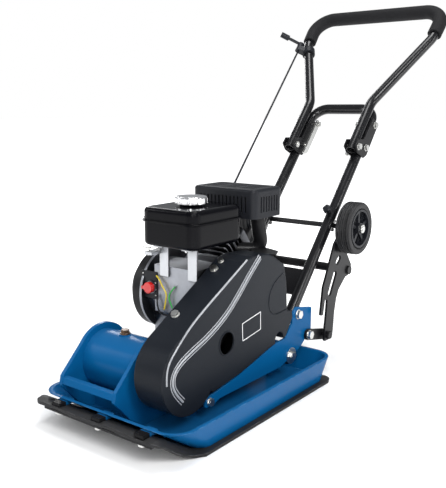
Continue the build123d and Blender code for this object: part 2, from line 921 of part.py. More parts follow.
shroud_right = case_left - flange_thickness
shroud_left = shroud_right - shroud_depth
flywheel_left = shroud_left + 8
with BuildPart() as flywheel:
    disc(across(flywheel_left + 6), (crank_y, crank_z), flywheel_radius - 6, 8)
    for blade in range(12):
        turn = math.radians(30 * blade)
        middle = (
            crank_y + (flywheel_radius - 18) * math.cos(turn),
            crank_z + (flywheel_radius - 18) * math.sin(turn),
        )
        with BuildSketch(across(flywheel_left)) as blade_profile:
            with Locations(Location((middle[0], middle[1]), 30 * blade + 25)):
                Rectangle(26, 3)
        extrude(blade_profile.sketch, amount=8)
    disc(across(flywheel_left + 6), (crank_y, crank_z), shaft_radius, 8, Mode.SUBTRACT)
flywheel.part.label = "flywheel"
export_step(flywheel.part, "parts/flywheel.step")

clutch_gap = 2.0
clutch_hub_radius = clutch_drum_radius - groove_depth - 4 - clutch_gap
with BuildPart() as clutch_hub:
    disc(across(pulley_left + 5), (crank_y, crank_z), clutch_hub_radius, pulley_width - 5)
    disc(across(pulley_left + 5), (crank_y, crank_z), shaft_radius, pulley_width - 5, Mode.SUBTRACT)
    for turn in (0, 90, 180, 270):
        angle = math.radians(turn + 45)
        slot = (
            crank_y + clutch_hub_radius * 0.86 * math.cos(angle),
            crank_z + clutch_hub_radius * 0.86 * math.sin(angle),
        )
        disc(across(pulley_left + 5), slot, 1.6, pulley_width - 5, Mode.SUBTRACT)
clutch_hub.part.label = "clutch_hub"
export_step(clutch_hub.part, "parts/clutch_hub.step")

with BuildPart() as clutch_drum:
    pulley(crank_y, crank_z, clutch_drum_radius, clutch_hub_radius + clutch_gap)
    disc(across(pulley_left), (crank_y, crank_z), clutch_drum_radius - groove_depth, 4)
    disc(across(pulley_left), (crank_y, crank_z), shaft_radius + running_gap, 4, Mode.SUBTRACT)
clutch_drum.part.label = "clutch_drum"
export_step(clutch_drum.part, "parts/clutch_drum.step")

mouth_radius = recoil_radius - 8
with BuildPart() as fan_shroud:
    disc(across(shroud_left), (crank_y, crank_z), shroud_radius - 2, shroud_depth)
    fillet(fan_shroud.edges().group_by(Axis.X)[0], 7)
    disc(
        across(shroud_left + sheet),
        (crank_y, crank_z),
        shroud_radius - 2 - sheet,
        shroud_depth - sheet,
        Mode.SUBTRACT,
    )
    disc(across(shroud_left), (crank_y, crank_z), mouth_radius, sheet, Mode.SUBTRACT)
fan_shroud.part.label = "fan_shroud"
export_step(fan_shroud.part, "parts/fan_shroud.step")

recoil_left = shroud_left - recoil_depth
reel_post = 8.0
vent_count = 18
rope_z = crank_z + reel_radius + 1.5
with BuildPart() as recoil_cover:
    disc(across(recoil_left), (crank_y, crank_z), recoil_radius, recoil_depth)
    fillet(recoil_cover.edges().group_by(Axis.X)[0], 8)
    disc(
        across(recoil_left + sheet),
        (crank_y, crank_z),
        recoil_radius - sheet,
        recoil_depth - sheet,
        Mode.SUBTRACT,
    )
    for index in range(vent_count):
        turn = math.radians(360 / vent_count * index)
        vent = (crank_y + 50 * math.cos(turn), crank_z + 50 * math.sin(turn))
        disc(across(recoil_left), vent, 3.6, sheet, Mode.SUBTRACT)
    rope_port = Plane(
        origin=((recoil_left + shroud_left) / 2, crank_y, rope_z), x_dir=(1, 0, 0), z_dir=(0, 1, 0)
    )
    disc(rope_port, (0, 0), 5, recoil_radius + 10, Mode.SUBTRACT)
    disc(across(recoil_left), (crank_y, crank_z), reel_post - running_gap, recoil_depth - 2)
recoil_cover.part.label = "recoil_cover"
export_step(recoil_cover.part, "parts/recoil_cover.step")

reel_left = recoil_left + sheet + 3
reel_width = recoil_depth - sheet - 6
with BuildPart() as starter_reel:
    disc(across(reel_left), (crank_y, crank_z), reel_radius - 4, reel_width)
    disc(across(reel_left), (crank_y, crank_z), reel_post, reel_width, Mode.SUBTRACT)
starter_reel.part.label = "starter_reel"
export_step(starter_reel.part, "parts/starter_reel.step")

grip_height = 46.0
grip_low_z = rope_z - grip_height / 2
grip_gap_y = crank_y + math.sqrt(recoil_radius**2 - (grip_low_z - crank_z) ** 2) + 3
with BuildPart() as starter_grip:
    rope_plane = Plane(
        origin=((recoil_left + shroud_left) / 2, crank_y - 12, rope_z), x_dir=(1, 0, 0), z_dir=(0, 1, 0)
    )
    disc(rope_plane, (0, 0), 1.8, grip_gap_y - crank_y + 14)
    with BuildSketch(rope_plane.offset(grip_gap_y - crank_y + 12)) as grip_profile:
        RectangleRounded(16, grip_height, 7)
    extrude(grip_profile.sketch, amount=14)
starter_grip.part.label = "starter_grip"
export_step(starter_grip.part, "parts/starter_grip.step")

with BuildPart() as switch_knob:
    knob_plane = Plane(origin=(switch_x, switch_y, switch_z), x_dir=(1, 0, 0), z_dir=(0, 1, 0))
    disc(knob_plane, (0, 0), 11.5, 9)
    fillet(switch_knob.edges().group_by(Axis.Y)[0], 2)
    block(switch_x - 18, switch_x, switch_y + 1, switch_y + 7, switch_z - 4, switch_z + 2)
    disc(knob_plane.offset(9), (0, 0), switch_stem, 10)
switch_knob.part.label = "switch_knob"
export_step(switch_knob.part, "parts/switch_knob.step")

# ---------------------------------------------------------------- wiring
wire_radius = 1.5
wire_front_y = case_front_y - 4


def wire(points, radius, bend):
    """A round wire along straight runs joined by arcs."""
    with BuildLine() as route:
        FilletPolyline(*points, radius=bend)
    start = route.wire() @ 0
    with BuildSketch(Plane(origin=start, z_dir=route.wire() % 0)) as section:
        Circle(radius)
    sweep(section.sketch, path=route.wire())


with BuildPart() as ignition_wires:
    for shift, bend in ((0, 9), (9, 12)):
        wire(
            [
                (switch_x + 12 + shift, wire_front_y, switch_z + 10 - shift),
                (switch_x + 28 + shift, wire_front_y, switch_z + 6 - shift),
                (switch_x + 44 + shift, wire_front_y, switch_z - 12),
                (switch_x + 34 + shift, wire_front_y, switch_z - 44 - shift),
            ],
            wire_radius,
            bend,
        )
ignition_wires.part.label = "ignition_wires"
export_step(ignition_wires.part, "parts/ignition_wires.step")

# ---------------------------------------------------------------- fuel tank
tank_x0 = tank_x - tank_width / 2
tank_x1 = tank_x + tank_width / 2
tank_y0 = tank_y - tank_length / 2
tank_y1 = tank_y + tank_length / 2
seam_z = tank_top_z - seam_drop
neck_top_z = tank_top_z + 4
tank_outer = rounded_block(tank_x0, tank_x1, tank_y0, tank_y1, tank_bottom_z, tank_top_z, 20, 9)
tank_inner = rounded_block(
    tank_x0 + tank_wall,
    tank_x1 - tank_wall,
    tank_y0 + tank_wall,
    tank_y1 - tank_wall,
    tank_bottom_z + tank_wall,
    tank_top_z - tank_wall,
    20 - tank_wall,
    9 - tank_wall,
)
with BuildPart() as fuel_tank:
    add(tank_outer)
    with BuildSketch(Plane.XY.offset(seam_z)):
        with Locations((tank_x, tank_y)):
            RectangleRounded(tank_width + 8, tank_length + 8, 24)
        with Locations((tank_x0 - 8, tank_y0 + 36)):
            Rectangle(22, 14)
    extrude(amount=2.4)
    disc(Plane.XY.offset(tank_top_z - tank_wall), (tank_x, cap_y), neck_radius + 2, tank_wall + 4)
    add(tank_inner, mode=Mode.SUBTRACT)
    disc(Plane.XY.offset(tank_top_z - tank_wall), (tank_x, cap_y), neck_radius, tank_wall + 4, Mode.SUBTRACT)
fuel_tank.part.label = "fuel_tank"
export_step(fuel_tank.part, "parts/fuel_tank.step")

cap_notches = 12
with BuildPart() as fuel_cap:
    disc(Plane.XY.offset(neck_top_z), (tank_x, cap_y), cap_radius, cap_height - 4)
    fillet(fuel_cap.edges().group_by(Axis.Z)[-1], 3)
    for index in range(cap_notches):
        turn = math.radians(360 / cap_notches * index)
        notch = (tank_x + cap_radius * math.cos(turn), cap_y + cap_radius * math.sin(turn))
        disc(Plane.XY.offset(neck_top_z), notch, 3, cap_height - 7, Mode.SUBTRACT)
    disc(Plane.XY.offset(neck_top_z - 9), (tank_x, cap_y), neck_radius - 1.5, 9)
fuel_cap.part.label = "fuel_cap"
export_step(fuel_cap.part, "parts/fuel_cap.step")

lever_x = tank_x0 + 6
lever_y = tank_y0 + 16
lever_z = tank_bottom_z - 9
lever_pin = 2.5
bracket_width = 22.0
left_bracket_x = cylinder_x - 28
with BuildPart() as tank_brackets:
    for x in (left_bracket_x, case_right - 18):
        block(x, x + bracket_width, case_front_y - 4, case_front_y, case_top_z - 20, tank_bottom_z)
        block(x, x + bracket_width, case_front_y - 22, case_front_y, tank_bottom_z - 4, tank_bottom_z)
    block(lever_x - 6, left_bracket_x, lever_y - 6, case_front_y, lever_z - 12, lever_z - 6)
    disc(Plane.XY.offset(lever_z - 12), (lever_x, lever_y), lever_pin + running_gap, 6, Mode.SUBTRACT)
tank_brackets.part.label = "tank_brackets"
export_step(tank_brackets.part, "parts/tank_brackets.step")

# ---------------------------------------------------------------- muffler
guard_x0 = muffler_x - muffler_guard_width / 2
guard_x1 = muffler_x + muffler_guard_width / 2
guard_y0 = muffler_y - muffler_guard_length / 2
guard_y1 = muffler_y + muffler_guard_length / 2
muffler_top_z = muffler_bottom_z + muffler_guard_height
muffler_inset = 11.0
muffler_outer = rounded_block(
    guard_x0 + muffler_inset,
    guard_x1 - muffler_inset,
    guard_y0 + muffler_inset,
    guard_y1 - muffler_inset,
    muffler_bottom_z + 4,
    muffler_top_z - muffler_inset,
    16,
    6,
)
pipe_x = guard_x1 - muffler_inset - pipe_radius - 4
head_side_x = cylinder_x + fin_size / 2
with BuildPart() as muffler:
    add(muffler_outer)
    with BuildLine() as pipe_route:
        FilletPolyline(
            (head_side_x - pipe_radius, port_y - pipe_radius, port_z),
            (pipe_x, port_y + 30, port_z - 2),
            (pipe_x, muffler_y - 2, muffler_bottom_z + 8),
            radius=pipe_radius + 5,
        )
    with BuildSketch(Plane(origin=pipe_route.wire() @ 0, z_dir=pipe_route.wire() % 0)):
        Circle(pipe_radius)
    sweep(path=pipe_route.wire())
    for x in (muffler_x - 50, muffler_x + 50):
        for y in (muffler_y - 25, muffler_y + 25):
            disc(Plane.XY.offset(muffler_top_z - muffler_inset - 1), (x, y), 4, muffler_inset - 1)
    block(
        head_side_x - 3 * pipe_radius,
        head_side_x,
        port_y - 3 * pipe_radius,
        port_y + 3 * pipe_radius,
        port_z - 2 * pipe_radius,
        port_z + 2 * pipe_radius,
        Mode.SUBTRACT,
    )
muffler.part.label = "muffler"
export_step(muffler.part, "parts/muffler.step")

guard_shell = rounded_block(
    guard_x0, guard_x1, guard_y0, guard_y1, muffler_bottom_z - 20, muffler_top_z, 14, 6
)
guard_hollow = rounded_block(
    guard_x0 + sheet,
    guard_x1 - sheet,
    guard_y0 + sheet,
    guard_y1 - sheet,
    muffler_bottom_z - 22,
    muffler_top_z - 2,
    14 - sheet,
    6 - sheet,
)
slot_width = 4.0
slot_pitch = 9.5
with BuildPart() as muffler_guard:
    add(guard_shell)
    add(guard_hollow, mode=Mode.SUBTRACT)
    block(
        guard_x0 - 1,
        guard_x1 + 1,
        guard_y0 - 1,
        guard_y1 + 1,
        muffler_bottom_z - 30,
        muffler_bottom_z,
        Mode.SUBTRACT,
    )
    for index in range(-6, 7):
        x = muffler_x + index * slot_pitch
        block(
            x - slot_width / 2,
            x + slot_width / 2,
            guard_y0 - 1,
            guard_y1 + 1,
            muffler_bottom_z + 12,
            muffler_top_z - 16,
            Mode.SUBTRACT,
        )
    for index in range(-3, 4):
        y = muffler_y + index * slot_pitch
        block(
            guard_x0 - 1,
            guard_x1 + 1,
            y - slot_width / 2,
            y + slot_width / 2,
            muffler_bottom_z + 12,
            muffler_top_z - 16,
            Mode.SUBTRACT,
        )
        for start in (-66, -20, 26):
            block(
                muffler_x + start,
                muffler_x + start + 38,
                y - slot_width / 2,
                y + slot_width / 2,
                muffler_top_z - 4,
                muffler_top_z + 1,
                Mode.SUBTRACT,
            )
muffler_guard.part.label = "muffler_guard"
export_step(muffler_guard.part, "parts/muffler_guard.step")

# ---------------------------------------------------------------- intake
intake_x = cylinder_x - fin_size / 2
filter_width = 28.0
carburetor_left = intake_x - 34
with BuildPart() as carburetor:
    disc(across(carburetor_left), (port_y, port_z), 12, intake_x - carburetor_left)
    block(
        carburetor_left + 8,
        carburetor_left + 28,
        port_y - 16,
        port_y + 16,
        port_z - 14,
        port_z + 14,
    )
    disc(Plane.XY.offset(port_z - 36), (carburetor_left + 18, port_y), 13, 24)
carburetor.part.label = "carburetor"
export_step(carburetor.part, "parts/carburetor.step")

filter_box = rounded_block(
    carburetor_left - filter_width,
    carburetor_left,
    port_y - 16,
    port_y + 56,
    port_z - 36,
    port_z + 36,
    10,
    6,
)
with BuildPart() as air_filter_box:
    add(filter_box)
    disc(Plane.XZ.offset(-port_y - 55), (carburetor_left - filter_width / 2, port_z), 9, -8)
air_filter_box.part.label = "air_filter_box"
export_step(air_filter_box.part, "parts/air_filter_box.step")

with BuildPart() as choke_lever:
    disc(Plane.XY.offset(lever_z), (lever_x, lever_y), 6, 2)
    block(lever_x - 36, lever_x, lever_y - 2.5, lever_y + 2.5, lever_z, lever_z + 2)
    disc(Plane.XY.offset(lever_z), (lever_x, lever_y), lever_pin, -14)
choke_lever.part.label = "choke_lever"
export_step(choke_lever.part, "parts/choke_lever.step")

# ---------------------------------------------------------------- lower handle
lower_radius = lower_tube / 2
upper_radius = upper_tube / 2
cross_plate_low = 44.0
cross_plate_high = 109.0


def bent_tube(face, points, bends, radius, bore):
    """A round tube along straight runs joined by arcs, drawn on a plane."""
    with BuildLine(face) as route:
        FilletPolyline(*points, radius=bends)
    with BuildSketch(Plane(origin=route.wire() @ 0, z_dir=route.wire() % 0)) as section:
        Circle(radius)
        Circle(bore, mode=Mode.SUBTRACT)
    sweep(section.sketch, path=route.wire())


with BuildPart() as lower_handle:
    bent_tube(
        handle_face(0),
        [
            (-handle_x, -lower_radius - 8),
            (-handle_x, lower_handle_length),
            (handle_x, lower_handle_length),
            (handle_x, -lower_radius - 8),
        ],
        lower_bend,
        lower_radius,
        lower_radius - tube_wall,
    )
    with BuildSketch(handle_face(-2)) as cross_plate:
        with Locations((0, (cross_plate_low + cross_plate_high) / 2)):
            Rectangle(2 * (handle_x - lower_radius) + 1, cross_plate_high - cross_plate_low)
    extrude(cross_plate.sketch, amount=4)
    for side in (-1, 1):
        clip_left = side * handle_x - 7
        with BuildSketch(handle_side(clip_left)) as clip:
            with Locations((axle_along, -lower_radius - 5)):
                Rectangle(26, 14)
            with Locations((axle_along, -axle_drop)):
                Circle(axle_radius + moving_gap, mode=Mode.SUBTRACT)
            with Locations((axle_along + 8, -axle_drop - 6)):
                Rectangle(30, 15, mode=Mode.SUBTRACT)
        extrude(clip.sketch, amount=14)
        inside = side * handle_x - (lower_radius + 2)
        disc(handle_side(inside), (0, 0), m10 + bolt_clearance, 2 * lower_radius + 4, Mode.SUBTRACT)
        for along in (clamp_bolt_low, clamp_bolt_high):
            disc(handle_side(inside), (along, 0), m8 + bolt_clearance, 2 * lower_radius + 4, Mode.SUBTRACT)
lower_handle.part.label = "lower_handle"
export_step(lower_handle.part, "parts/lower_handle.step")

bracket_inner = handle_x - lower_radius - bracket_plate
bracket_outer = handle_x + lower_radius
bracket_outline = [
    (pivot_along - 14, upper_rise - 6),
    (pivot_along - 9, upper_rise + 14),
    (pivot_along + 10, upper_rise + 14),
    (pivot_along + 30, upper_rise - 10),
    (clamp_bolt_high + 8, upper_rise - 13),
    (clamp_bolt_high + 10, -lower_radius - 1),
    (clamp_bolt_low - 10, -lower_radius - 4),
    (pivot_along - 4, -lower_radius + 4),
]
with BuildPart() as handle_brackets:
    for side in (-1, 1):
        for near in (bracket_inner, bracket_outer):
            face = side * near if side > 0 else -near - bracket_plate
            outline(handle_side(face), bracket_outline, bracket_plate, 3.0)
            disc(
                handle_side(face),
                (pivot_along, upper_rise),
                m8 + bolt_clearance,
                bracket_plate,
                Mode.SUBTRACT,
            )
            for along in (clamp_bolt_low, clamp_bolt_high):
                disc(handle_side(face), (along, 0), m8 + bolt_clearance, bracket_plate, Mode.SUBTRACT)
handle_brackets.part.label = "handle_brackets"
export_step(handle_brackets.part, "parts/handle_brackets.step")

latch_outer = bracket_inner - 8
latch_thickness = 5.0
latch_inner = latch_outer - latch_thickness
nut_thickness = 5.0
link_outer_x = link_x + link_thickness
with BuildPart() as handle_bolts:
    for side in (-1, 1):
        for seat_x, along, rise, thread, inner_x in (
            (side_outer_x, 0, 0, m10, handle_x - lower_radius),
            (bracket_outer + bracket_plate, pivot_along, upper_rise, m8, bracket_inner),
            (bracket_outer + bracket_plate, clamp_bolt_low, 0, m8, bracket_inner),
            (bracket_outer + bracket_plate, clamp_bolt_high, 0, m8, latch_inner - 0.5),
        ):
            seat = Plane(
                origin=(side * seat_x, ear_y, ear_z),
                x_dir=(0, math.sin(lean) * side, math.cos(lean) * side),
                z_dir=(side, 0, 0),
            )
            bolt(seat, (side * along, rise), thread, seat_x - inner_x + nut_thickness + 2)
            hexagon(seat.offset(inner_x - seat_x), (side * along, rise), thread * 3.3, -nut_thickness)
        link_seat = Plane(origin=(side * link_outer_x, 0, 0), x_dir=(0, side, 0), z_dir=(side, 0, 0))
        link_grip = link_outer_x - side_inner_x
        bolt(link_seat, (side * link_y, link_z), m10, link_grip + nut_thickness + 2)
        hexagon(link_seat.offset(-link_grip), (side * link_y, link_z), m10 * 3.3, -nut_thickness)
handle_bolts.part.label = "handle_bolts"
export_step(handle_bolts.part, "parts/handle_bolts.step")


def latch(side):
    """The over-centre lever that clamps one upper tube into its bracket."""
    face = latch_inner if side > 0 else -latch_outer
    outline(
        handle_side(face),
        [
            (clamp_bolt_high + 9, 8),
            (clamp_bolt_high + 9, -8),
            (clamp_bolt_low - 14, -9),
            (clamp_bolt_low - 26, -2),
            (clamp_bolt_low - 26, 6),
            (clamp_bolt_low - 8, 6),
        ],
        latch_thickness,
        3.0,
    )
    disc(handle_side(face), (clamp_bolt_high, 0), m8 + running_gap, latch_thickness, Mode.SUBTRACT)


with BuildPart() as latch_left:
    latch(-1)
latch_left.part.label = "latch_left"
export_step(latch_left.part, "parts/latch_left.step")

with BuildPart() as latch_right:
    latch(1)
latch_right.part.label = "latch_right"
export_step(latch_right.part, "parts/latch_right.step")

# ---------------------------------------------------------------- upper handle
spread_slope = (grip_half_width - handle_x) / (spread_end - spread_start)
with BuildPart() as upper_handle:
    bent_tube(
        handle_face(upper_rise),
        [
            (-handle_x, pivot_along - upper_radius),
            (-handle_x, spread_start),
            (-grip_half_width, spread_end),
            (-grip_corner_x, upper_handle_length),
            (grip_corner_x, upper_handle_length),
            (grip_half_width, spread_end),
            (handle_x, spread_start),
            (handle_x, pivot_along - upper_radius),
        ],
        [60, 60, grip_bend, grip_bend, 60, 60],
        upper_radius,
        upper_radius - tube_wall,
    )
    for side in (-1, 1):
        inside = side * handle_x - (upper_radius + 2)
        disc(
            handle_side(inside),
            (pivot_along, upper_rise),
            m8 + running_gap,
            2 * upper_radius + 4,
            Mode.SUBTRACT,
        )
upper_handle.part.label = "upper_handle"
export_step(upper_handle.part, "parts/upper_handle.step")

grip_start = spread_end + 12
grip_start_x = grip_half_width + (grip_corner_x - grip_half_width) * 12 / (upper_handle_length - spread_end)
with BuildPart() as grip_foam:
    bent_tube(
        handle_face(upper_rise),
        [
            (-grip_start_x, grip_start),
            (-grip_corner_x, upper_handle_length),
            (grip_corner_x, upper_handle_length),
            (grip_start_x, grip_start),
        ],
        grip_bend,
        grip_diameter / 2,
        upper_radius + running_gap,
    )
grip_foam.part.label = "grip_foam"
export_step(grip_foam.part, "parts/grip_foam.step")

# ---------------------------------------------------------------- throttle control
clamp_along = spread_end - 36
clamp_x = handle_x + spread_slope * (clamp_along - spread_start)
boss_x = clamp_x + 27
boss_rise = upper_rise + 16
boss_length = 22.0
boss_radius = 9.0


def handle_cross(along):
    """Plane square to the handle tubes: local x runs to the left and local y is the rise."""
    return Plane(
        origin=handle_point(0, along, 0), x_dir=(-1, 0, 0), z_dir=(0, math.sin(lean), math.cos(lean))
    )


with BuildPart() as throttle_clamp:
    clamp_plane = Plane(
        origin=handle_point(-clamp_x, clamp_along, upper_rise),
        z_dir=(-spread_slope, math.sin(lean), math.cos(lean)),
    )
    disc(clamp_plane, (0, 0), upper_radius + 5, 18)
    disc(handle_cross(clamp_along), (boss_x, boss_rise), boss_radius, boss_length)
    with BuildSketch(handle_cross(clamp_along)) as web:
        with Locations((clamp_x + 3, upper_rise)):
            Circle(upper_radius)
        with Locations((boss_x, boss_rise)):
            Circle(boss_radius)
        make_hull()
    extrude(web.sketch, amount=boss_length - 8)
    disc(clamp_plane.offset(-20), (0, 0), upper_radius + running_gap, 70, Mode.SUBTRACT)
    disc(
        handle_cross(clamp_along + boss_length - 12),
        (boss_x, boss_rise),
        m6 + running_gap,
        12,
        Mode.SUBTRACT,
    )
throttle_clamp.part.label = "throttle_clamp"
export_step(throttle_clamp.part, "parts/throttle_clamp.step")

lever_reach_x = 28.0
lever_reach_rise = 26.0
knob_radius = 7.5
knob_length = 24.0
with BuildPart() as throttle_lever:
    top = clamp_along + boss_length + 0.3
    disc(handle_cross(top), (boss_x, boss_rise), boss_radius, 4)
    disc(handle_cross(top - 11), (boss_x, boss_rise), m6, 11)
    arm_length = math.hypot(lever_reach_x, lever_reach_rise)
    arm_angle = math.degrees(math.atan2(lever_reach_rise, lever_reach_x))
    with BuildSketch(handle_cross(top)) as arm:
        with Locations(Location((boss_x + lever_reach_x / 2, boss_rise + lever_reach_rise / 2), arm_angle)):
            SlotCenterToCenter(arm_length, 8)
    extrude(arm.sketch, amount=4)
    arm_plane = handle_cross(top + 2)
    knob_base = arm_plane.from_local_coords(Vector(boss_x + lever_reach_x, boss_rise + lever_reach_rise, 0))
    knob_end = arm_plane.from_local_coords(
        Vector(boss_x + 2 * lever_reach_x, boss_rise + 2 * lever_reach_rise, 0)
    )
    disc(Plane(origin=knob_base, z_dir=knob_end - knob_base), (0, 0), knob_radius, knob_length)
throttle_lever.part.label = "throttle_lever"
export_step(throttle_lever.part, "parts/throttle_lever.step")

cable_radius = 2.5
cable_points = [
    handle_point(-boss_x, clamp_along, boss_rise),
    handle_point(-boss_x, clamp_along - 20, boss_rise),
    (-101.0, 266.0, 424.0),
    (-92.0, 208.0, 368.0),
    (carburetor_left + 18, port_y + 46, port_z + 4),
    (carburetor_left + 18, port_y + 16, port_z + 4),
]
cable_bends = []
for before, corner, after in zip(cable_points, cable_points[1:], cable_points[2:]):
    run_in = Vector(*corner) - Vector(*before)
    run_out = Vector(*after) - Vector(*corner)
    half_turn = math.radians(run_in.get_angle(run_out)) / 2
    cable_bends.append(0.45 * min(run_in.length, run_out.length) / math.tan(half_turn))
print("throttle cable arc radii", [round(bend) for bend in cable_bends])
with BuildPart() as throttle_cable:
    wire(cable_points, cable_radius, cable_bends)
throttle_cable.part.label = "throttle_cable"
export_step(throttle_cable.part, "parts/throttle_cable.step")
print("throttle cable volume over section", throttle_cable.part.volume / (math.pi * cable_radius**2))

# ---------------------------------------------------------------- transport wheels
axle_y = handle_point(0, axle_along, -axle_drop)[1]
axle_z = handle_point(0, axle_along, -axle_drop)[2]
wheel_outer_x = wheel_inner_x + wheel_width
with BuildPart() as wheel_links:
    for side in (-1, 1):
        face = link_x if side > 0 else -link_x - link_thickness
        with BuildSketch(across(face)) as bar:
            span = math.hypot(carrier_y - link_y, carrier_z - link_z)
            slope = math.degrees(math.atan2(carrier_z - link_z, carrier_y - link_y))
            with Locations(Location(((link_y + carrier_y) / 2, (link_z + carrier_z) / 2), slope)):
                SlotCenterToCenter(span, link_height)
        extrude(bar.sketch, amount=link_thickness)
        disc(across(face), (link_y, link_z), m10 + running_gap, link_thickness, Mode.SUBTRACT)
        pin_face = link_x if side > 0 else -carrier_x - carrier_thickness - 6
        disc(across(pin_face), (carrier_y, carrier_z), m10, carrier_x + carrier_thickness + 6 - link_x)
        cap_face = carrier_x + carrier_thickness + 1 if side > 0 else -carrier_x - carrier_thickness - 7
        hexagon(across(cap_face), (carrier_y, carrier_z), 16, 6)
wheel_links.part.label = "wheel_links"
export_step(wheel_links.part, "parts/wheel_links.step")

carrier_outline = [
    (carrier_y - 14, carrier_z - 12),
    (carrier_y + 20, carrier_z - 12),
    (carrier_y + 24, carrier_z + 6),
    (carrier_y + 28, carrier_z + 48),
    (carrier_y + 36, carrier_z + 80),
    (cross_tube_y - 44, cross_tube_z - 38),
    (cross_tube_y - 13, cross_tube_z - 14),
    (cross_tube_y + 14, cross_tube_z - 10),
    (cross_tube_y + 14, cross_tube_z + 12),
    (axle_y + 10, axle_z - 62),
    (axle_y + 17, axle_z),
    (axle_y + 10, axle_z + 16),
    (axle_y - 12, axle_z + 16),
    (axle_y - 18, axle_z - 4),
    (axle_y - 50, axle_z - 32),
    (axle_y - 81, axle_z - 95),
    (axle_y - 96, axle_z - 124),
    (carrier_y - 35, carrier_z + 53),
    (carrier_y - 24, carrier_z + 52),
    (carrier_y - 17, carrier_z + 86),
    (carrier_y - 5, carrier_z + 84),
    (carrier_y - 8, carrier_z + 50),
    (carrier_y - 14, carrier_z + 10),
]
long_slot_low = (carrier_y + 4, carrier_z + 98)
long_slot_high = (carrier_y + 26, carrier_z + 138)
oval_slot = (carrier_y + 40, carrier_z + 168)
with BuildPart() as carrier_frame:
    for side in (-1, 1):
        face = carrier_x if side > 0 else -carrier_x - carrier_thickness
        with BuildSketch(across(face)) as plate:
            Polygon(*carrier_outline, align=None)
            fillet(plate.vertices(), 3)
            slot_length = math.dist(long_slot_low, long_slot_high)
            slot_angle = math.degrees(
                math.atan2(long_slot_high[1] - long_slot_low[1], long_slot_high[0] - long_slot_low[0])
            )
            slot_middle = (
                (long_slot_low[0] + long_slot_high[0]) / 2,
                (long_slot_low[1] + long_slot_high[1]) / 2,
            )
            with Locations(Location(slot_middle, slot_angle)):
                SlotCenterToCenter(slot_length, 15, mode=Mode.SUBTRACT)
            with Locations(Location(oval_slot, 40)):
                SlotCenterToCenter(12, 13, mode=Mode.SUBTRACT)
            with Locations((axle_y, axle_z)):
                Circle(axle_radius, mode=Mode.SUBTRACT)
            with Locations((carrier_y, carrier_z)):
                Circle(m10 + running_gap, mode=Mode.SUBTRACT)
        extrude(plate.sketch, amount=carrier_thickness)
    disc(
        across(-carrier_x - carrier_thickness - 4),
        (cross_tube_y, cross_tube_z),
        cross_tube_radius,
        2 * (carrier_x + carrier_thickness + 4),
    )
carrier_frame.part.label = "carrier_frame"
export_step(carrier_frame.part, "parts/carrier_frame.step")

hub_gap = 0.5
axle_end = wheel_outer_x + hub_gap + nut_thickness + 2
with BuildPart() as wheel_axle:
    disc(across(-axle_end), (axle_y, axle_z), axle_radius, 2 * axle_end)
    for face in (-wheel_outer_x - hub_gap - nut_thickness, wheel_outer_x + hub_gap):
        hexagon(across(face), (axle_y, axle_z), axle_radius * 3, nut_thickness)
wheel_axle.part.label = "wheel_axle"
export_step(wheel_axle.part, "parts/wheel_axle.step")

spoke_count = 5
hub_radius = 13.0


def wheel_rim(face):
    """A moulded rim with a hub, five spokes and an outer band."""
    disc(across(face), (axle_y, axle_z), rim_radius, wheel_width)
    for hollow in (face, face + wheel_width - 11):
        disc(across(hollow), (axle_y, axle_z), rim_radius - 5, 11, Mode.SUBTRACT)
    for index in range(spoke_count):
        turn = math.radians(90 + 360 / spoke_count * (index + 0.5))
        window = (axle_y + 26 * math.cos(turn), axle_z + 26 * math.sin(turn))
        disc(across(face), window, 10, wheel_width, Mode.SUBTRACT)
    disc(across(face), (axle_y, axle_z), hub_radius, wheel_width)
    for index in range(spoke_count):
        turn = 90 + 360 / spoke_count * index
        middle = (
            axle_y + 26 * math.cos(math.radians(turn)),
            axle_z + 26 * math.sin(math.radians(turn)),
        )
        with BuildSketch(across(face + 5)) as spoke:
            with Locations(Location(middle, turn)):
                Rectangle(rim_radius - hub_radius, 7)
        extrude(spoke.sketch, amount=wheel_width - 10)
    disc(across(face), (axle_y, axle_z), axle_radius + running_gap, wheel_width, Mode.SUBTRACT)


def wheel_tyre(face):
    """A solid rubber tyre with three grooves round its tread."""
    with BuildSketch(Plane(origin=(0, axle_y, axle_z), x_dir=(1, 0, 0), z_dir=(0, -1, 0))) as section:
        with Locations((face + wheel_width / 2, (rim_radius + wheel_radius) / 2)):
            RectangleRounded(wheel_width, wheel_radius - rim_radius, 5)
        with Locations(*[(face + wheel_width / 2 + step, wheel_radius) for step in (-9, 0, 9)]):
            Rectangle(2, 4, mode=Mode.SUBTRACT)
    revolve(section.sketch, axis=Axis((0, axle_y, axle_z), (1, 0, 0)))


with BuildPart() as rim_left:
    wheel_rim(-wheel_outer_x)
rim_left.part.label = "rim_left"
export_step(rim_left.part, "parts/rim_left.step")

with BuildPart() as rim_right:
    wheel_rim(wheel_inner_x)
rim_right.part.label = "rim_right"
export_step(rim_right.part, "parts/rim_right.step")

with BuildPart() as tyre_left:
    wheel_tyre(-wheel_outer_x)
tyre_left.part.label = "tyre_left"
export_step(tyre_left.part, "parts/tyre_left.step")

with BuildPart() as tyre_right:
    wheel_tyre(wheel_inner_x)
tyre_right.part.label = "tyre_right"
export_step(tyre_right.part, "parts/tyre_right.step")

# ---------------------------------------------------------------- plugs and guard bolts
with BuildPart() as oil_plugs:
    filler_seat = Plane.XY.offset(exciter_z + drum_radius + 1)
    disc(filler_seat, (exciter_left + filler_inset, exciter_y), filler_radius, 3)
    hexagon(filler_seat.offset(3), (exciter_left + filler_inset, exciter_y), 14, 6)
    drain = Plane(
        origin=(case_left + 20, crank_y - pedestal_depth / 2, rail_top_z + 26),
        x_dir=(1, 0, 0),
        z_dir=(0, -1, 0),
    )
    disc(drain, (0, 0), 9, 10)
oil_plugs.part.label = "oil_plugs"
export_step(oil_plugs.part, "parts/oil_plugs.step")

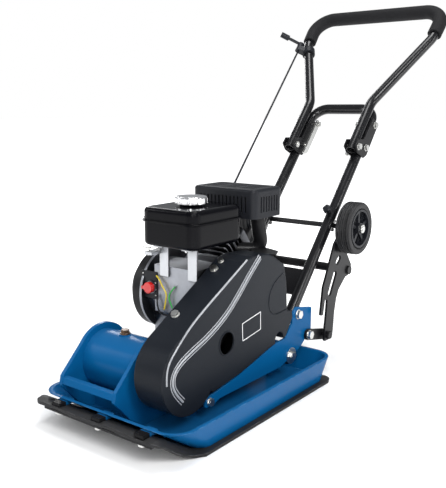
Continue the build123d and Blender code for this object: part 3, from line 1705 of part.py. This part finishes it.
with BuildPart() as guard_bolts:
    for seat, thread in guard_seats:
        bolt(seat, (0, 0), thread, guard_wall)
guard_bolts.part.label = "guard_bolts"
export_step(guard_bolts.part, "parts/guard_bolts.step")
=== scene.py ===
"""Looks of the vibratory plate compactor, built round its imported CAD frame."""

import json
import math

import bmesh
import bpy
from mathutils import Matrix, Vector


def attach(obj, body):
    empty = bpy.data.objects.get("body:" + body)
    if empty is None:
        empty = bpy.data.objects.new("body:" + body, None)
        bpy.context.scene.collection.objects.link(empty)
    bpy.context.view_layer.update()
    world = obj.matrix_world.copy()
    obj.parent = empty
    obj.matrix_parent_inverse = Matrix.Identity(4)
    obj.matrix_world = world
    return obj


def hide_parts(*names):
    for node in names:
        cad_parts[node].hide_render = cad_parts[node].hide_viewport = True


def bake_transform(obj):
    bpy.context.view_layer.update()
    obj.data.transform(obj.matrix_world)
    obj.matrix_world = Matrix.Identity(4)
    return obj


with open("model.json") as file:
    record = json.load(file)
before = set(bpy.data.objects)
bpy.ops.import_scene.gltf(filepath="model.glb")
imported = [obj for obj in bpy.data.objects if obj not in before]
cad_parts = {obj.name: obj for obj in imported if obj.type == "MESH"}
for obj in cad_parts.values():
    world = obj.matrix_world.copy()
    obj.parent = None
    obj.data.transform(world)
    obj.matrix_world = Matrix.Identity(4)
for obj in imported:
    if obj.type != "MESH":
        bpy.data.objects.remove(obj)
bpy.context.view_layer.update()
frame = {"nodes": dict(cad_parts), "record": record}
nodes = frame["nodes"]
MM = 0.001


# ---------------------------------------------------------------- materials
def link(tree, source, target):
    tree.links.new(source, target)


def surface(
    name,
    colour,
    rough,
    metal=0.0,
    coat=0.0,
    grain=900.0,
    depth=0.10,
    blotch=9.0,
    shade=0.12,
    edge=0.0010,
    wear=0.0,
    wear_colour=(0.5, 0.5, 0.5),
    stretch=(1.0, 1.0, 1.0),
    dust=0.0,
    specular=0.5,
    rings=0.0,
    painted_crease_shade=0.0,
):
    """A procedural finish in object space.

    Every finish has a slow colour change, a fine grain and softened edges. Wear chips the edges, dust
    settles on faces that look up, rings are grooves across X, and painted crease shade darkens the
    colour in places that are shut in, by ambient occlusion.
    """
    made = bpy.data.materials.new(name)
    made.use_nodes = True
    tree = made.node_tree
    shader = tree.nodes["Principled BSDF"]
    shader.inputs["Metallic"].default_value = metal
    shader.inputs["Coat Weight"].default_value = coat
    shader.inputs["Coat Roughness"].default_value = 0.12
    shader.inputs["Specular IOR Level"].default_value = specular
    place = tree.nodes.new("ShaderNodeTexCoord")
    scale = tree.nodes.new("ShaderNodeMapping")
    scale.inputs["Scale"].default_value = stretch
    link(tree, place.outputs["Object"], scale.inputs["Vector"])

    slow = tree.nodes.new("ShaderNodeTexNoise")
    slow.inputs["Scale"].default_value = blotch
    slow.inputs["Detail"].default_value = 5.0
    link(tree, scale.outputs["Vector"], slow.inputs["Vector"])
    fine = tree.nodes.new("ShaderNodeTexNoise")
    fine.inputs["Scale"].default_value = grain
    fine.inputs["Detail"].default_value = 3.0
    link(tree, scale.outputs["Vector"], fine.inputs["Vector"])

    tint = tree.nodes.new("ShaderNodeMix")
    tint.data_type = "RGBA"
    tint.inputs["A"].default_value = [c * (1 - shade) for c in colour] + [1]
    tint.inputs["B"].default_value = [min(1, c * (1 + shade)) for c in colour] + [1]
    link(tree, slow.outputs["Fac"], tint.inputs["Factor"])
    result = tint.outputs["Result"]

    bevel = tree.nodes.new("ShaderNodeBevel")
    bevel.samples = 4
    bevel.inputs["Radius"].default_value = edge
    bump = tree.nodes.new("ShaderNodeBump")
    bump.inputs["Strength"].default_value = depth
    bump.inputs["Distance"].default_value = 0.0006
    link(tree, fine.outputs["Fac"], bump.inputs["Height"])
    link(tree, bevel.outputs["Normal"], bump.inputs["Normal"])
    link(tree, bump.outputs["Normal"], shader.inputs["Normal"])

    if rings > 0:
        groove = tree.nodes.new("ShaderNodeTexWave")
        groove.inputs["Scale"].default_value = rings
        link(tree, place.outputs["Object"], groove.inputs["Vector"])
        cut = tree.nodes.new("ShaderNodeBump")
        cut.inputs["Strength"].default_value = 0.8
        cut.inputs["Distance"].default_value = 0.0015
        link(tree, groove.outputs["Fac"], cut.inputs["Height"])
        link(tree, bump.outputs["Normal"], cut.inputs["Normal"])
        link(tree, cut.outputs["Normal"], shader.inputs["Normal"])

    if wear > 0:
        flat = tree.nodes.new("ShaderNodeNewGeometry")
        meet = tree.nodes.new("ShaderNodeVectorMath")
        meet.operation = "DOT_PRODUCT"
        link(tree, bevel.outputs["Normal"], meet.inputs[0])
        link(tree, flat.outputs["Normal"], meet.inputs[1])
        band = tree.nodes.new("ShaderNodeMapRange")
        band.inputs["From Min"].default_value = 0.995
        band.inputs["From Max"].default_value = 0.80
        band.inputs["To Max"].default_value = wear
        link(tree, meet.outputs["Value"], band.inputs["Value"])
        patch = tree.nodes.new("ShaderNodeTexNoise")
        patch.inputs["Scale"].default_value = 60.0
        patch.inputs["Detail"].default_value = 6.0
        link(tree, place.outputs["Object"], patch.inputs["Vector"])
        chips = tree.nodes.new("ShaderNodeMapRange")
        chips.inputs["From Min"].default_value = 0.45
        chips.inputs["From Max"].default_value = 0.62
        link(tree, patch.outputs["Fac"], chips.inputs["Value"])
        amount = tree.nodes.new("ShaderNodeMath")
        amount.operation = "MULTIPLY"
        link(tree, band.outputs["Result"], amount.inputs[0])
        link(tree, chips.outputs["Result"], amount.inputs[1])
        worn = tree.nodes.new("ShaderNodeMix")
        worn.data_type = "RGBA"
        worn.inputs["B"].default_value = [*wear_colour, 1]
        link(tree, amount.outputs["Value"], worn.inputs["Factor"])
        link(tree, result, worn.inputs["A"])
        result = worn.outputs["Result"]
    if dust > 0:
        facing = tree.nodes.new("ShaderNodeNewGeometry")
        split = tree.nodes.new("ShaderNodeSeparateXYZ")
        link(tree, facing.outputs["Normal"], split.inputs["Vector"])
        top = tree.nodes.new("ShaderNodeMapRange")
        top.inputs["From Min"].default_value = 0.3
        top.inputs["From Max"].default_value = 1.0
        top.inputs["To Max"].default_value = dust
        link(tree, split.outputs["Z"], top.inputs["Value"])
        settle = tree.nodes.new("ShaderNodeMath")
        settle.operation = "MULTIPLY"
        link(tree, top.outputs["Result"], settle.inputs[0])
        link(tree, slow.outputs["Fac"], settle.inputs[1])
        dusty = tree.nodes.new("ShaderNodeMix")
        dusty.data_type = "RGBA"
        dusty.inputs["B"].default_value = (0.45, 0.44, 0.42, 1)
        link(tree, settle.outputs["Value"], dusty.inputs["Factor"])
        link(tree, result, dusty.inputs["A"])
        result = dusty.outputs["Result"]
    # Painted shade: ambient occlusion darkens the base colour in creases and shut-in places.
    if painted_crease_shade > 0:
        painted_shade = tree.nodes.new("ShaderNodeAmbientOcclusion")
        painted_shade.inputs["Distance"].default_value = painted_crease_shade
        painted_shade.samples = 8
        link(tree, result, painted_shade.inputs["Color"])
        result = painted_shade.outputs["Color"]
    link(tree, result, shader.inputs["Base Color"])

    gloss = tree.nodes.new("ShaderNodeMapRange")
    gloss.inputs["To Min"].default_value = max(0.02, rough - 0.07)
    gloss.inputs["To Max"].default_value = min(1.0, rough + 0.07)
    link(tree, slow.outputs["Fac"], gloss.inputs["Value"])
    link(tree, gloss.outputs["Result"], shader.inputs["Roughness"])
    return made


def banded(made, axis, low, high, colour, metal=False, mirror=False):
    """Another colour where the place along an axis is between low and high, in mm.

    Metal makes that part metallic, and mirror counts both sides of the axis's zero.
    """
    tree = made.node_tree
    shader = tree.nodes["Principled BSDF"]
    place = tree.nodes.new("ShaderNodeTexCoord")
    split = tree.nodes.new("ShaderNodeSeparateXYZ")
    link(tree, place.outputs["Object"], split.inputs["Vector"])
    value = split.outputs[axis]
    if mirror:
        fold = tree.nodes.new("ShaderNodeMath")
        fold.operation = "ABSOLUTE"
        link(tree, value, fold.inputs[0])
        value = fold.outputs["Value"]
    inside = tree.nodes.new("ShaderNodeMath")
    inside.operation = "COMPARE"
    inside.inputs[1].default_value = (low + high) / 2 * MM
    inside.inputs[2].default_value = (high - low) / 2 * MM
    link(tree, value, inside.inputs[0])
    mix = tree.nodes.new("ShaderNodeMix")
    mix.data_type = "RGBA"
    mix.inputs["B"].default_value = [*colour, 1]
    link(tree, inside.outputs["Value"], mix.inputs["Factor"])
    link(tree, shader.inputs["Base Color"].links[0].from_socket, mix.inputs["A"])
    link(tree, mix.outputs["Result"], shader.inputs["Base Color"])
    if metal:
        link(tree, inside.outputs["Value"], shader.inputs["Metallic"])
    return made


PAINT_BLUE = (0.002, 0.085, 0.235)
# Black paint; on the base plate's front lugs the same black is painted shade.
BLACK_PAINT_AND_LUG_SHADE = (0.008, 0.008, 0.009)
BARE_ZINC = (0.60, 0.60, 0.58)
PAINTED_LUG_SHADE_BEFORE_Y = -266.5
AXLE_NUTS_FROM_X = 160
FAR_PAST = 400
looks = {
    "blue_paint": surface(
        "blue_paint", PAINT_BLUE, 0.24, specular=0.05, grain=260, depth=0.10, wear=0.35,
        wear_colour=(0.10, 0.28, 0.52), dust=0.03,
    ),
    "black_paint": surface(
        "black_paint", (0.007, 0.007, 0.008), 0.34, specular=0.16, grain=400, wear=0.3,
        wear_colour=(0.10, 0.10, 0.11), dust=0.03,
    ),
    "gloss_black": surface(
        "gloss_black", (0.002, 0.002, 0.003), 0.12, specular=0.08, grain=120, depth=0.02, edge=0.005,
    ),
    "guard_plastic": surface(
        "guard_plastic", (0.010, 0.012, 0.016), 0.34, specular=0.09, grain=1500, depth=0.30,
        edge=0.004, wear=0.2, wear_colour=(0.10, 0.10, 0.11),
    ),
    "dark_plastic": surface(
        "dark_plastic", (0.011, 0.012, 0.015), 0.38, specular=0.16, grain=1300, depth=0.25,
        edge=0.0012, wear=0.2, wear_colour=(0.12, 0.12, 0.12),
    ),
    "rubber": surface(
        "rubber", (0.009, 0.009, 0.010), 0.55, specular=0.3, grain=700, depth=0.4, wear=0.7,
        wear_colour=(0.20, 0.20, 0.21), edge=0.0016, dust=0.04,
    ),
    "foam": surface("foam", (0.006, 0.006, 0.007), 0.72, specular=0.22, grain=1100, depth=0.8, shade=0.25),
    "tyre": surface(
        "tyre", (0.013, 0.013, 0.014), 0.55, specular=0.3, grain=900, depth=0.45, wear=0.3, rings=62.0,
    ),
    "zinc_steel": surface(
        "zinc_steel", BARE_ZINC, 0.30, metal=1.0, grain=500, depth=0.10, shade=0.18, edge=0.0006,
    ),
    "chrome": surface(
        "chrome", (0.80, 0.80, 0.81), 0.20, metal=1.0, grain=220, depth=0.08, shade=0.06, edge=0.0008,
    ),
    # Cast aluminium gets painted crease shade from ambient occlusion.
    "cast_aluminium": surface(
        "cast_aluminium", (0.30, 0.31, 0.335), 0.36, metal=1.0, grain=420, depth=0.7, blotch=26.0,
        shade=0.34, painted_crease_shade=0.04, edge=0.0015,
    ),
    "steel": surface(
        "steel", (0.42, 0.42, 0.43), 0.33, metal=1.0, grain=900, depth=0.12, stretch=(0.15, 1, 1),
        shade=0.15,
    ),
    "cast_iron": surface("cast_iron", (0.11, 0.11, 0.11), 0.55, metal=0.6, grain=600, depth=0.5),
    "red_plastic": surface("red_plastic", (0.55, 0.012, 0.012), 0.28, coat=0.3, grain=300, depth=0.04),
    "wire": surface("wire", (0.62, 0.48, 0.02), 0.38, grain=500, depth=0.06, edge=0.0003),
    "wire_green": surface("wire_green", (0.03, 0.35, 0.06), 0.38, grain=500, depth=0.06, edge=0.0003),
    "badge_line": surface("badge_line", (0.75, 0.75, 0.75), 0.4, grain=300, depth=0.05, edge=0.0003),
    # Painted highlight: the ridges are black plastic, coloured lighter grey where light catches them.
    "guard_ridge": surface(
        "guard_ridge", (0.27, 0.28, 0.30), 0.22, coat=0.6, grain=300, depth=0.05, edge=0.0006,
    ),
}
# Painted shade: the base plate's lugs past the rim's front edge are coloured black, standing for the shadow
# under the rim.
looks["plate_paint_and_lug_shade"] = banded(
    surface(
        "plate_paint_and_lug_shade", PAINT_BLUE, 0.22, specular=0.05, grain=260, depth=0.10, edge=0.003,
        wear=0.4, wear_colour=(0.12, 0.32, 0.58), dust=0.02,
    ),
    "Y", -FAR_PAST, PAINTED_LUG_SHADE_BEFORE_Y, BLACK_PAINT_AND_LUG_SHADE,
)
looks["axle_paint"] = banded(
    surface("axle_paint", BLACK_PAINT_AND_LUG_SHADE, 0.35, coat=0.12, specular=0.4, grain=400, wear=0.3),
    "X", AXLE_NUTS_FROM_X, FAR_PAST, BARE_ZINC, metal=True, mirror=True,
)
looks["tube_black"] = surface(
    "tube_black", (0.006, 0.006, 0.007), 0.22, specular=0.35, grain=200, depth=0.02, edge=0.0002,
)
looks["plug_brown"] = surface(
    "plug_brown", (0.10, 0.055, 0.028), 0.30, metal=0.6, grain=300, depth=0.1, wear=0.4,
)
# The grey brackets get painted crease shade from ambient occlusion.
looks["bracket_grey"] = surface(
    "bracket_grey", (0.46, 0.47, 0.49), 0.30, metal=1.0, painted_crease_shade=0.02, grain=600, depth=0.25,
    shade=0.25, edge=0.0012,
)
node_looks = {
    "base_plate": "plate_paint_and_lug_shade",
    "wheel_axle": "axle_paint",
    "oil_plugs": "plug_brown",
    "lower_handle": "tube_black",
    "upper_handle": "tube_black",
    "tank_brackets": "bracket_grey",
    "pad_clamp_bar": "black_paint",
}
node_slots = {s["node"]: s["material_slot"] for s in frame["record"]["subparts"]}
for name, node in nodes.items():
    node.data.materials.clear()
    node.data.materials.append(looks[node_looks.get(name, node_slots[name])])


def finish_piece(piece, slot, body, look=None):
    piece.data.materials.clear()
    piece.data.materials.append(looks[look or slot])
    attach(piece, body)
    return piece


# ---------------------------------------------------------------- piece builders
def metres(points):
    return [Vector(p) * MM for p in points]


def curve_object(name, points, radius, cyclic=False):
    """A smooth NURBS line with the given control points, in metres."""
    data = bpy.data.curves.new(name, "CURVE")
    data.dimensions = "3D"
    data.resolution_u = 10
    data.bevel_depth = radius
    data.bevel_resolution = 4
    data.use_fill_caps = True
    spline = data.splines.new("NURBS")
    spline.points.add(len(points) - 1)
    for point, place in zip(spline.points, points):
        point.co = (*place, 1)
    spline.order_u = 3
    if cyclic:
        spline.use_cyclic_u = True
    else:
        spline.use_endpoint_u = True
    made = bpy.data.objects.new(name, data)
    bpy.context.scene.collection.objects.link(made)
    return made


def to_mesh(source, name):
    """The source's evaluated shape as a new mesh object, in place of the source."""
    bpy.context.view_layer.update()
    graph = bpy.context.evaluated_depsgraph_get()
    mesh = bpy.data.meshes.new_from_object(source.evaluated_get(graph))
    matrix = source.matrix_world.copy()
    bpy.data.objects.remove(source)
    made = bpy.data.objects.new(name, mesh)
    made.matrix_world = matrix
    bpy.context.scene.collection.objects.link(made)
    for face in mesh.polygons:
        face.use_smooth = True
    return made


def centreline(points):
    """Points read along the NURBS line that has these control points."""
    bare = curve_object("centreline", points, 0.0)
    line = to_mesh(bare, "centreline_read")
    read = [v.co.copy() for v in line.data.vertices]
    bpy.data.objects.remove(line)
    return read


def run_length(read):
    return sum((b - a).length for a, b in zip(read, read[1:]))


def bead(name, points, radius, slot, body="root", look=None, cyclic=False, depth=None):
    """A raised bead along a line. Depth flattens it along X."""
    made = to_mesh(curve_object(name + "_line", metres(points), radius * MM, cyclic), name)
    if depth is not None:
        middle = sum(v.co.x for v in made.data.vertices) / len(made.data.vertices)
        for v in made.data.vertices:
            v.co.x = middle + (v.co.x - middle) * depth
    return finish_piece(made, slot, body, look)


def solid(name, build, slot, body="root", look=None, smooth=True, bevel=0.0):
    """A mesh piece made by a bmesh function, with its corners rounded off when a bevel width is given."""
    mesh = bpy.data.meshes.new(name)
    work = bmesh.new()
    build(work)
    bmesh.ops.recalc_face_normals(work, faces=work.faces)
    work.to_mesh(mesh)
    work.free()
    made = bpy.data.objects.new(name, mesh)
    bpy.context.scene.collection.objects.link(made)
    for face in mesh.polygons:
        face.use_smooth = smooth
    if bevel > 0:
        round_off = made.modifiers.new("round", "BEVEL")
        round_off.width = bevel
        round_off.segments = 3
        round_off.limit_method = "ANGLE"
        round_off.harden_normals = True
    return finish_piece(made, slot, body, look)


def frame_of(origin, along):
    """A matrix at origin whose Z runs along a direction."""
    turn = Vector(along).to_track_quat("Z", "Y").to_matrix().to_4x4()
    return Matrix.Translation(Vector(origin) * MM) @ turn


def turned(name, origin, along, outline, slot, body="root", look=None, lobes=0, lobe_depth=0.0):
    """A turned piece: outline is (distance along, radius) in mm; lobes give it a fluted side."""
    steps = 48

    def build(work):
        place = frame_of(origin, along)
        rings = []
        for distance, radius in outline:
            ring = []
            for index in range(steps):
                turn = 2 * math.pi * index / steps
                flute = 1 - lobe_depth * (0.5 + 0.5 * math.cos(lobes * turn)) if lobes else 1
                ring.append(
                    work.verts.new(
                        place
                        @ Vector(
                            (
                                radius * flute * MM * math.cos(turn),
                                radius * flute * MM * math.sin(turn),
                                distance * MM,
                            )
                        )
                    )
                )
            rings.append(ring)
        for low, high in zip(rings, rings[1:]):
            for index in range(steps):
                after = (index + 1) % steps
                work.faces.new((low[index], low[after], high[after], high[index]))
        work.faces.new(rings[0])
        work.faces.new(rings[-1])

    return solid(name, build, slot, body, look, bevel=0.0003)


def prism(name, low_corners, high_corners, slot, look=None, bevel=0.0008):
    """A flat-sided piece between two matching outlines of points in mm, on the root body."""

    def build(work):
        low = [work.verts.new(place) for place in metres(low_corners)]
        high = [work.verts.new(place) for place in metres(high_corners)]
        work.faces.new(low)
        work.faces.new(high)
        count = len(low)
        for index in range(count):
            after = (index + 1) % count
            work.faces.new((low[index], low[after], high[after], high[index]))

    return solid(name, build, slot, look=look, smooth=False, bevel=bevel)


# ---------------------------------------------------------------- rubber paving pad
PAD_HALF = 170.0
PAD_FLAT_Y = -186.0
PAD_RISE_Y = -258.0
PAD_LIP_Y = -284.0
PAD_REAR_Y = 265.0
PAD_MID = 3.0
PAD_SHELF = 49.0


def pad_height(y):
    """Height of the pad's middle at a place along it, with soft bends."""
    total = 0.0
    taps = 9
    for tap in range(taps):
        at_y = y + (tap - taps // 2) * 2.0
        share = min(1.0, max(0.0, (PAD_FLAT_Y - at_y) / (PAD_FLAT_Y - PAD_RISE_Y)))
        total += PAD_MID + (PAD_SHELF - PAD_MID) * share
    return total / taps


def ease(low, high, value):
    share = min(1.0, max(0.0, (value - low) / (high - low)))
    return share * share * (3 - 2 * share)


def build_pad(work):
    columns = 69
    rows = 111
    grid = []
    for column in range(columns):
        x = -PAD_HALF + 2 * PAD_HALF * column / (columns - 1)
        droop = ease(134, 169, x)
        corner = max(0.0, abs(x) - (PAD_HALF - 22.0))
        pull = 22.0 - math.sqrt(max(0.0, 22.0**2 - corner**2))
        front = PAD_LIP_Y + (PAD_FLAT_Y - 6 - PAD_LIP_Y) * droop + pull * (1 - 0.6 * droop)
        rear = PAD_REAR_Y - pull
        line = []
        for row in range(rows):
            share = row / (rows - 1)
            y = front + (rear - front) * share**1.35
            z = PAD_MID + (pad_height(y) - PAD_MID) * (1 - droop)
            lip = 1.2 * math.sin(x * 0.045) * ease(-262, -284, y) * (1 - droop)
            line.append(work.verts.new((x * MM, y * MM, (z + lip) * MM)))
        grid.append(line)
    for left, right in zip(grid, grid[1:]):
        for row in range(rows - 1):
            work.faces.new((left[row], right[row], right[row + 1], left[row + 1]))


pad = solid("pad", build_pad, "rubber")
thicken = pad.modifiers.new("thicken", "SOLIDIFY")
thicken.thickness = 0.0058
thicken.offset = 0
soften = pad.modifiers.new("soften", "BEVEL")
soften.width = 0.0012
soften.segments = 2
soften.limit_method = "ANGLE"
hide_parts("rubber_pad")

# ---------------------------------------------------------------- belt guard details
GUARD_FACE = 108.0
outer_ridge = [
    (20, 304), (-34, 275), (-94, 244), (-151, 212), (-189, 180), (-209, 160), (-215, 139), (-214, 122),
]
inner_ridge = [
    (64, 303), (30, 275), (0, 247), (-41, 212), (-95, 183), (-155, 163), (-184, 150), (-200, 131),
    (-196, 104), (-172, 80),
]
RIDGE_STEP = 6.0
RIDGE_FLATTEN = 0.9
HOLE_MIDDLE = (-43.5, 154)
HOLE_LIP_RADIUS = 23.5
HOLE_LIP_POINTS = 12


def shifted(points, amount):
    """The same (y, z) line moved sideways by an amount."""
    moved = []
    for index, (y, z) in enumerate(points):
        before = points[max(0, index - 1)]
        after = points[min(len(points) - 1, index + 1)]
        run = Vector((after[0] - before[0], after[1] - before[1])).normalized()
        moved.append((y - run.y * amount, z + run.x * amount))
    return moved


def on_face(points, x=GUARD_FACE):
    return [(x, y, z) for y, z in points]


# Each ridge gets the lighter grey painted highlight colour.
def ridge(name, line, radius):
    bead(name, on_face(line), radius, "guard_plastic", look="guard_ridge", depth=RIDGE_FLATTEN)


ridge("guard_ridge_outer", outer_ridge, 2.0)
for label, steps_across, radius in (("a", -1, 1.1), ("b", 0, 2.4), ("c", 1, 1.1)):
    ridge("guard_ridge_" + label, shifted(inner_ridge, steps_across * RIDGE_STEP), radius)
recess = [(167, 174), (140, 171), (116, 173), (101, 186), (97, 207), (106, 229), (126, 246), (150, 254)]
bead("guard_recess", on_face(recess), 1.5, "guard_plastic", depth=0.7)
hole_ring = []
for point in range(HOLE_LIP_POINTS):
    turn = 2 * math.pi * point / HOLE_LIP_POINTS
    ring_y = HOLE_MIDDLE[0] + HOLE_LIP_RADIUS * math.cos(turn)
    ring_z = HOLE_MIDDLE[1] + HOLE_LIP_RADIUS * math.sin(turn)
    hole_ring.append((ring_y, ring_z))
bead("guard_hole_lip", on_face(hole_ring), 1.8, "guard_plastic", cyclic=True, depth=0.8)
badge = [(6, 180), (68, 190), (69, 154), (8, 145)]
for index, (start, end) in enumerate(zip(badge, badge[1:] + badge[:1])):
    edge_line = on_face([start, end], GUARD_FACE + 0.2)
    bead("badge_edge_%d" % index, edge_line, 0.9, "zinc_steel", look="badge_line", depth=0.5)


BRACKET_LOW_Z = 298.5
BRACKET_HIGH_Z = 302.0
bracket_outline = [(36, 131), (24, 170), (100, 142), (119, 105), (70, 96)]
prism(
    "guard_top_bracket",
    [(x, y, BRACKET_LOW_Z) for x, y in bracket_outline],
    [(x, y, BRACKET_HIGH_Z) for x, y in bracket_outline],
    "black_paint",
)

# ---------------------------------------------------------------- engine and handle details
SWITCH_PLATE_LEFT = -104
SWITCH_PLATE_RIGHT = -62
switch_plate_outline = [(-50, 212), (-47, 212), (-47, 268), (-50, 268)]
prism(
    "switch_plate",
    [(SWITCH_PLATE_LEFT, y, z) for y, z in switch_plate_outline],
    [(SWITCH_PLATE_RIGHT, y, z) for y, z in switch_plate_outline],
    "dark_plastic",
    bevel=0.001,
)
stud_places = [(-100, 262), (-100, 254), (-100, 246), (-100, 226), (-66, 246), (-66, 232), (-66, 220)]
stud_outline = [(0, 1.6), (0.8, 1.6), (1.2, 0.9)]
for index, (x, z) in enumerate(stud_places):
    turned("switch_plate_stud_%d" % index, (x, -49.8, z), (0, -1, 0), stud_outline, "zinc_steel")
turned(
    "stow_knob", (86, 387.5, 344.7), (0, -0.7524, 0.6587),
    [(11, 4), (21, 4), (21.5, 9), (23, 10.5), (31, 10.5), (33, 8), (34, 2)],
    "dark_plastic", lobes=5, lobe_depth=0.14,
)

# ---------------------------------------------------------------- wires and throttle cable
CABLE_DIAMETER = 0.005
throttle_route = metres(
    [
        (-189.2, 674.9, 744.5),
        (-189.2, 661.7, 729.4),
        (-101.0, 266.0, 424.0),
        (-92.0, 208.0, 368.0),
        (-82.0, 174.4, 302.0),
        (-82.0, 144.4, 302.0),
    ]
)
cable_path = centreline(throttle_route)
cable = to_mesh(curve_object("cable_line", throttle_route, CABLE_DIAMETER / 2), "throttle_cord")
finish_piece(cable, "dark_plastic", "root")
cable.parent = None
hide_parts("throttle_cable")
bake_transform(cable)


def short_wire(name, points, diameter, look):
    route = metres(points)
    length = run_length(centreline(route))
    made = curve_object(name, route, diameter / 2 * MM)
    finish_piece(made, "wire", "root", look)
    return made


yellow = short_wire(
    "wire_yellow",
    [(-62, -52, 262), (-54, -53, 258), (-44, -55, 244), (-33, -54, 230), (-36, -54, 214), (-42, -52, 196)],
    3.0,
    "wire",
)
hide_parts("ignition_wires")
short_wire(
    "wire_green",
    [(-14, -51, 246), (-20, -54, 238), (-27, -56, 226), (-24, -54, 212), (-20, -52, 202)],
    3.0,
    "wire_green",
)
short_wire(
    "wire_black",
    [(-60, -52, 222), (-58, -56, 206), (-50, -58, 190), (-34, -56, 184), (-20, -52, 192)],
    3.4,
    "dark_plastic",
)


# ---------------------------------------------------------------- camera, floor and light
LOOK_DOWN = 10.76
LOOK_ROUND = 37.92
camera_data = bpy.data.cameras.new("camera")
camera = bpy.data.objects.new("camera", camera_data)
bpy.context.scene.collection.objects.link(camera)
camera.location = (0.883, -1.0737, 0.5897)
camera.rotation_euler = (math.radians(90 - LOOK_DOWN), 0, math.radians(LOOK_ROUND))
camera_data.lens = 52.69
camera_data.sensor_width = 36
camera_data.shift_x = 0.0158
bpy.context.scene.camera = camera

bpy.ops.mesh.primitive_plane_add(size=60, location=(0, 0, -0.0004))
floor = bpy.context.object
floor.name = "floor"
floor_look = surface("floor_paint", (0.95, 0.95, 0.95), 0.75, grain=40, depth=0.0, shade=0.01, specular=0.05)
floor_nodes = floor_look.node_tree.nodes
floor_shader = floor_nodes["Principled BSDF"]
floor_shader.inputs["Emission Color"].default_value = (1, 1, 1, 1)
floor_place = floor_nodes.new("ShaderNodeTexCoord")
floor_far = floor_nodes.new("ShaderNodeVectorMath")
floor_far.operation = "LENGTH"
link(floor_look.node_tree, floor_place.outputs["Object"], floor_far.inputs[0])
floor_glow = floor_nodes.new("ShaderNodeMapRange")
floor_glow.inputs["From Min"].default_value = 0.45
floor_glow.inputs["From Max"].default_value = 1.3
floor_glow.inputs["To Min"].default_value = 0.02
floor_glow.inputs["To Max"].default_value = 1.0
link(floor_look.node_tree, floor_far.outputs["Value"], floor_glow.inputs["Value"])
link(floor_look.node_tree, floor_glow.outputs["Result"], floor_shader.inputs["Emission Strength"])
floor.data.materials.append(floor_look)

world = bpy.data.worlds.new("studio")
world.use_nodes = True
sky = world.node_tree
room = sky.nodes["Background"]
room.inputs["Color"].default_value = (0.93, 0.96, 1.0, 1)
room.inputs["Strength"].default_value = 0.34
paper = sky.nodes.new("ShaderNodeBackground")
paper.inputs["Color"].default_value = (1, 1, 1, 1)
paper.inputs["Strength"].default_value = 1.0
seen = sky.nodes.new("ShaderNodeLightPath")
choose = sky.nodes.new("ShaderNodeMixShader")
link(sky, seen.outputs["Is Camera Ray"], choose.inputs["Fac"])
link(sky, room.outputs["Background"], choose.inputs[1])
link(sky, paper.outputs["Background"], choose.inputs[2])
link(sky, choose.outputs["Shader"], sky.nodes["World Output"].inputs["Surface"])
bpy.context.scene.world = world
bpy.context.scene.view_settings.view_transform = "Standard"


def lamp(name, place, target, size, power):
    light = bpy.data.lights.new(name, "AREA")
    light.shape = "RECTANGLE"
    light.size = size[0]
    light.size_y = size[1]
    light.energy = power
    holder = bpy.data.objects.new(name, light)
    bpy.context.scene.collection.objects.link(holder)
    holder.location = place
    holder.rotation_euler = (Vector(target) - Vector(place)).to_track_quat("-Z", "Y").to_euler()


lamp("key", (2.3, -1.1, 2.3), (0, 0, 0.3), (0.9, 0.9), 55)
lamp("fill", (-2.6, -1.8, 1.5), (0, 0, 0.3), (0.4, 2.2), 22)
lamp("top", (0.1, 0.5, 2.9), (0, 0, 0.2), (1.2, 1.2), 46)
lamp("strip", (1.0, -1.4, 1.15), (0, 0, 0.35), (0.10, 1.3), 16)
lamp("rim", (-2.4, 1.9, 1.9), (0, 0, 0.4), (0.4, 2.0), 22)
lamp("side", (2.8, 1.0, 1.1), (0, 0, 0.3), (0.25, 1.8), 18)
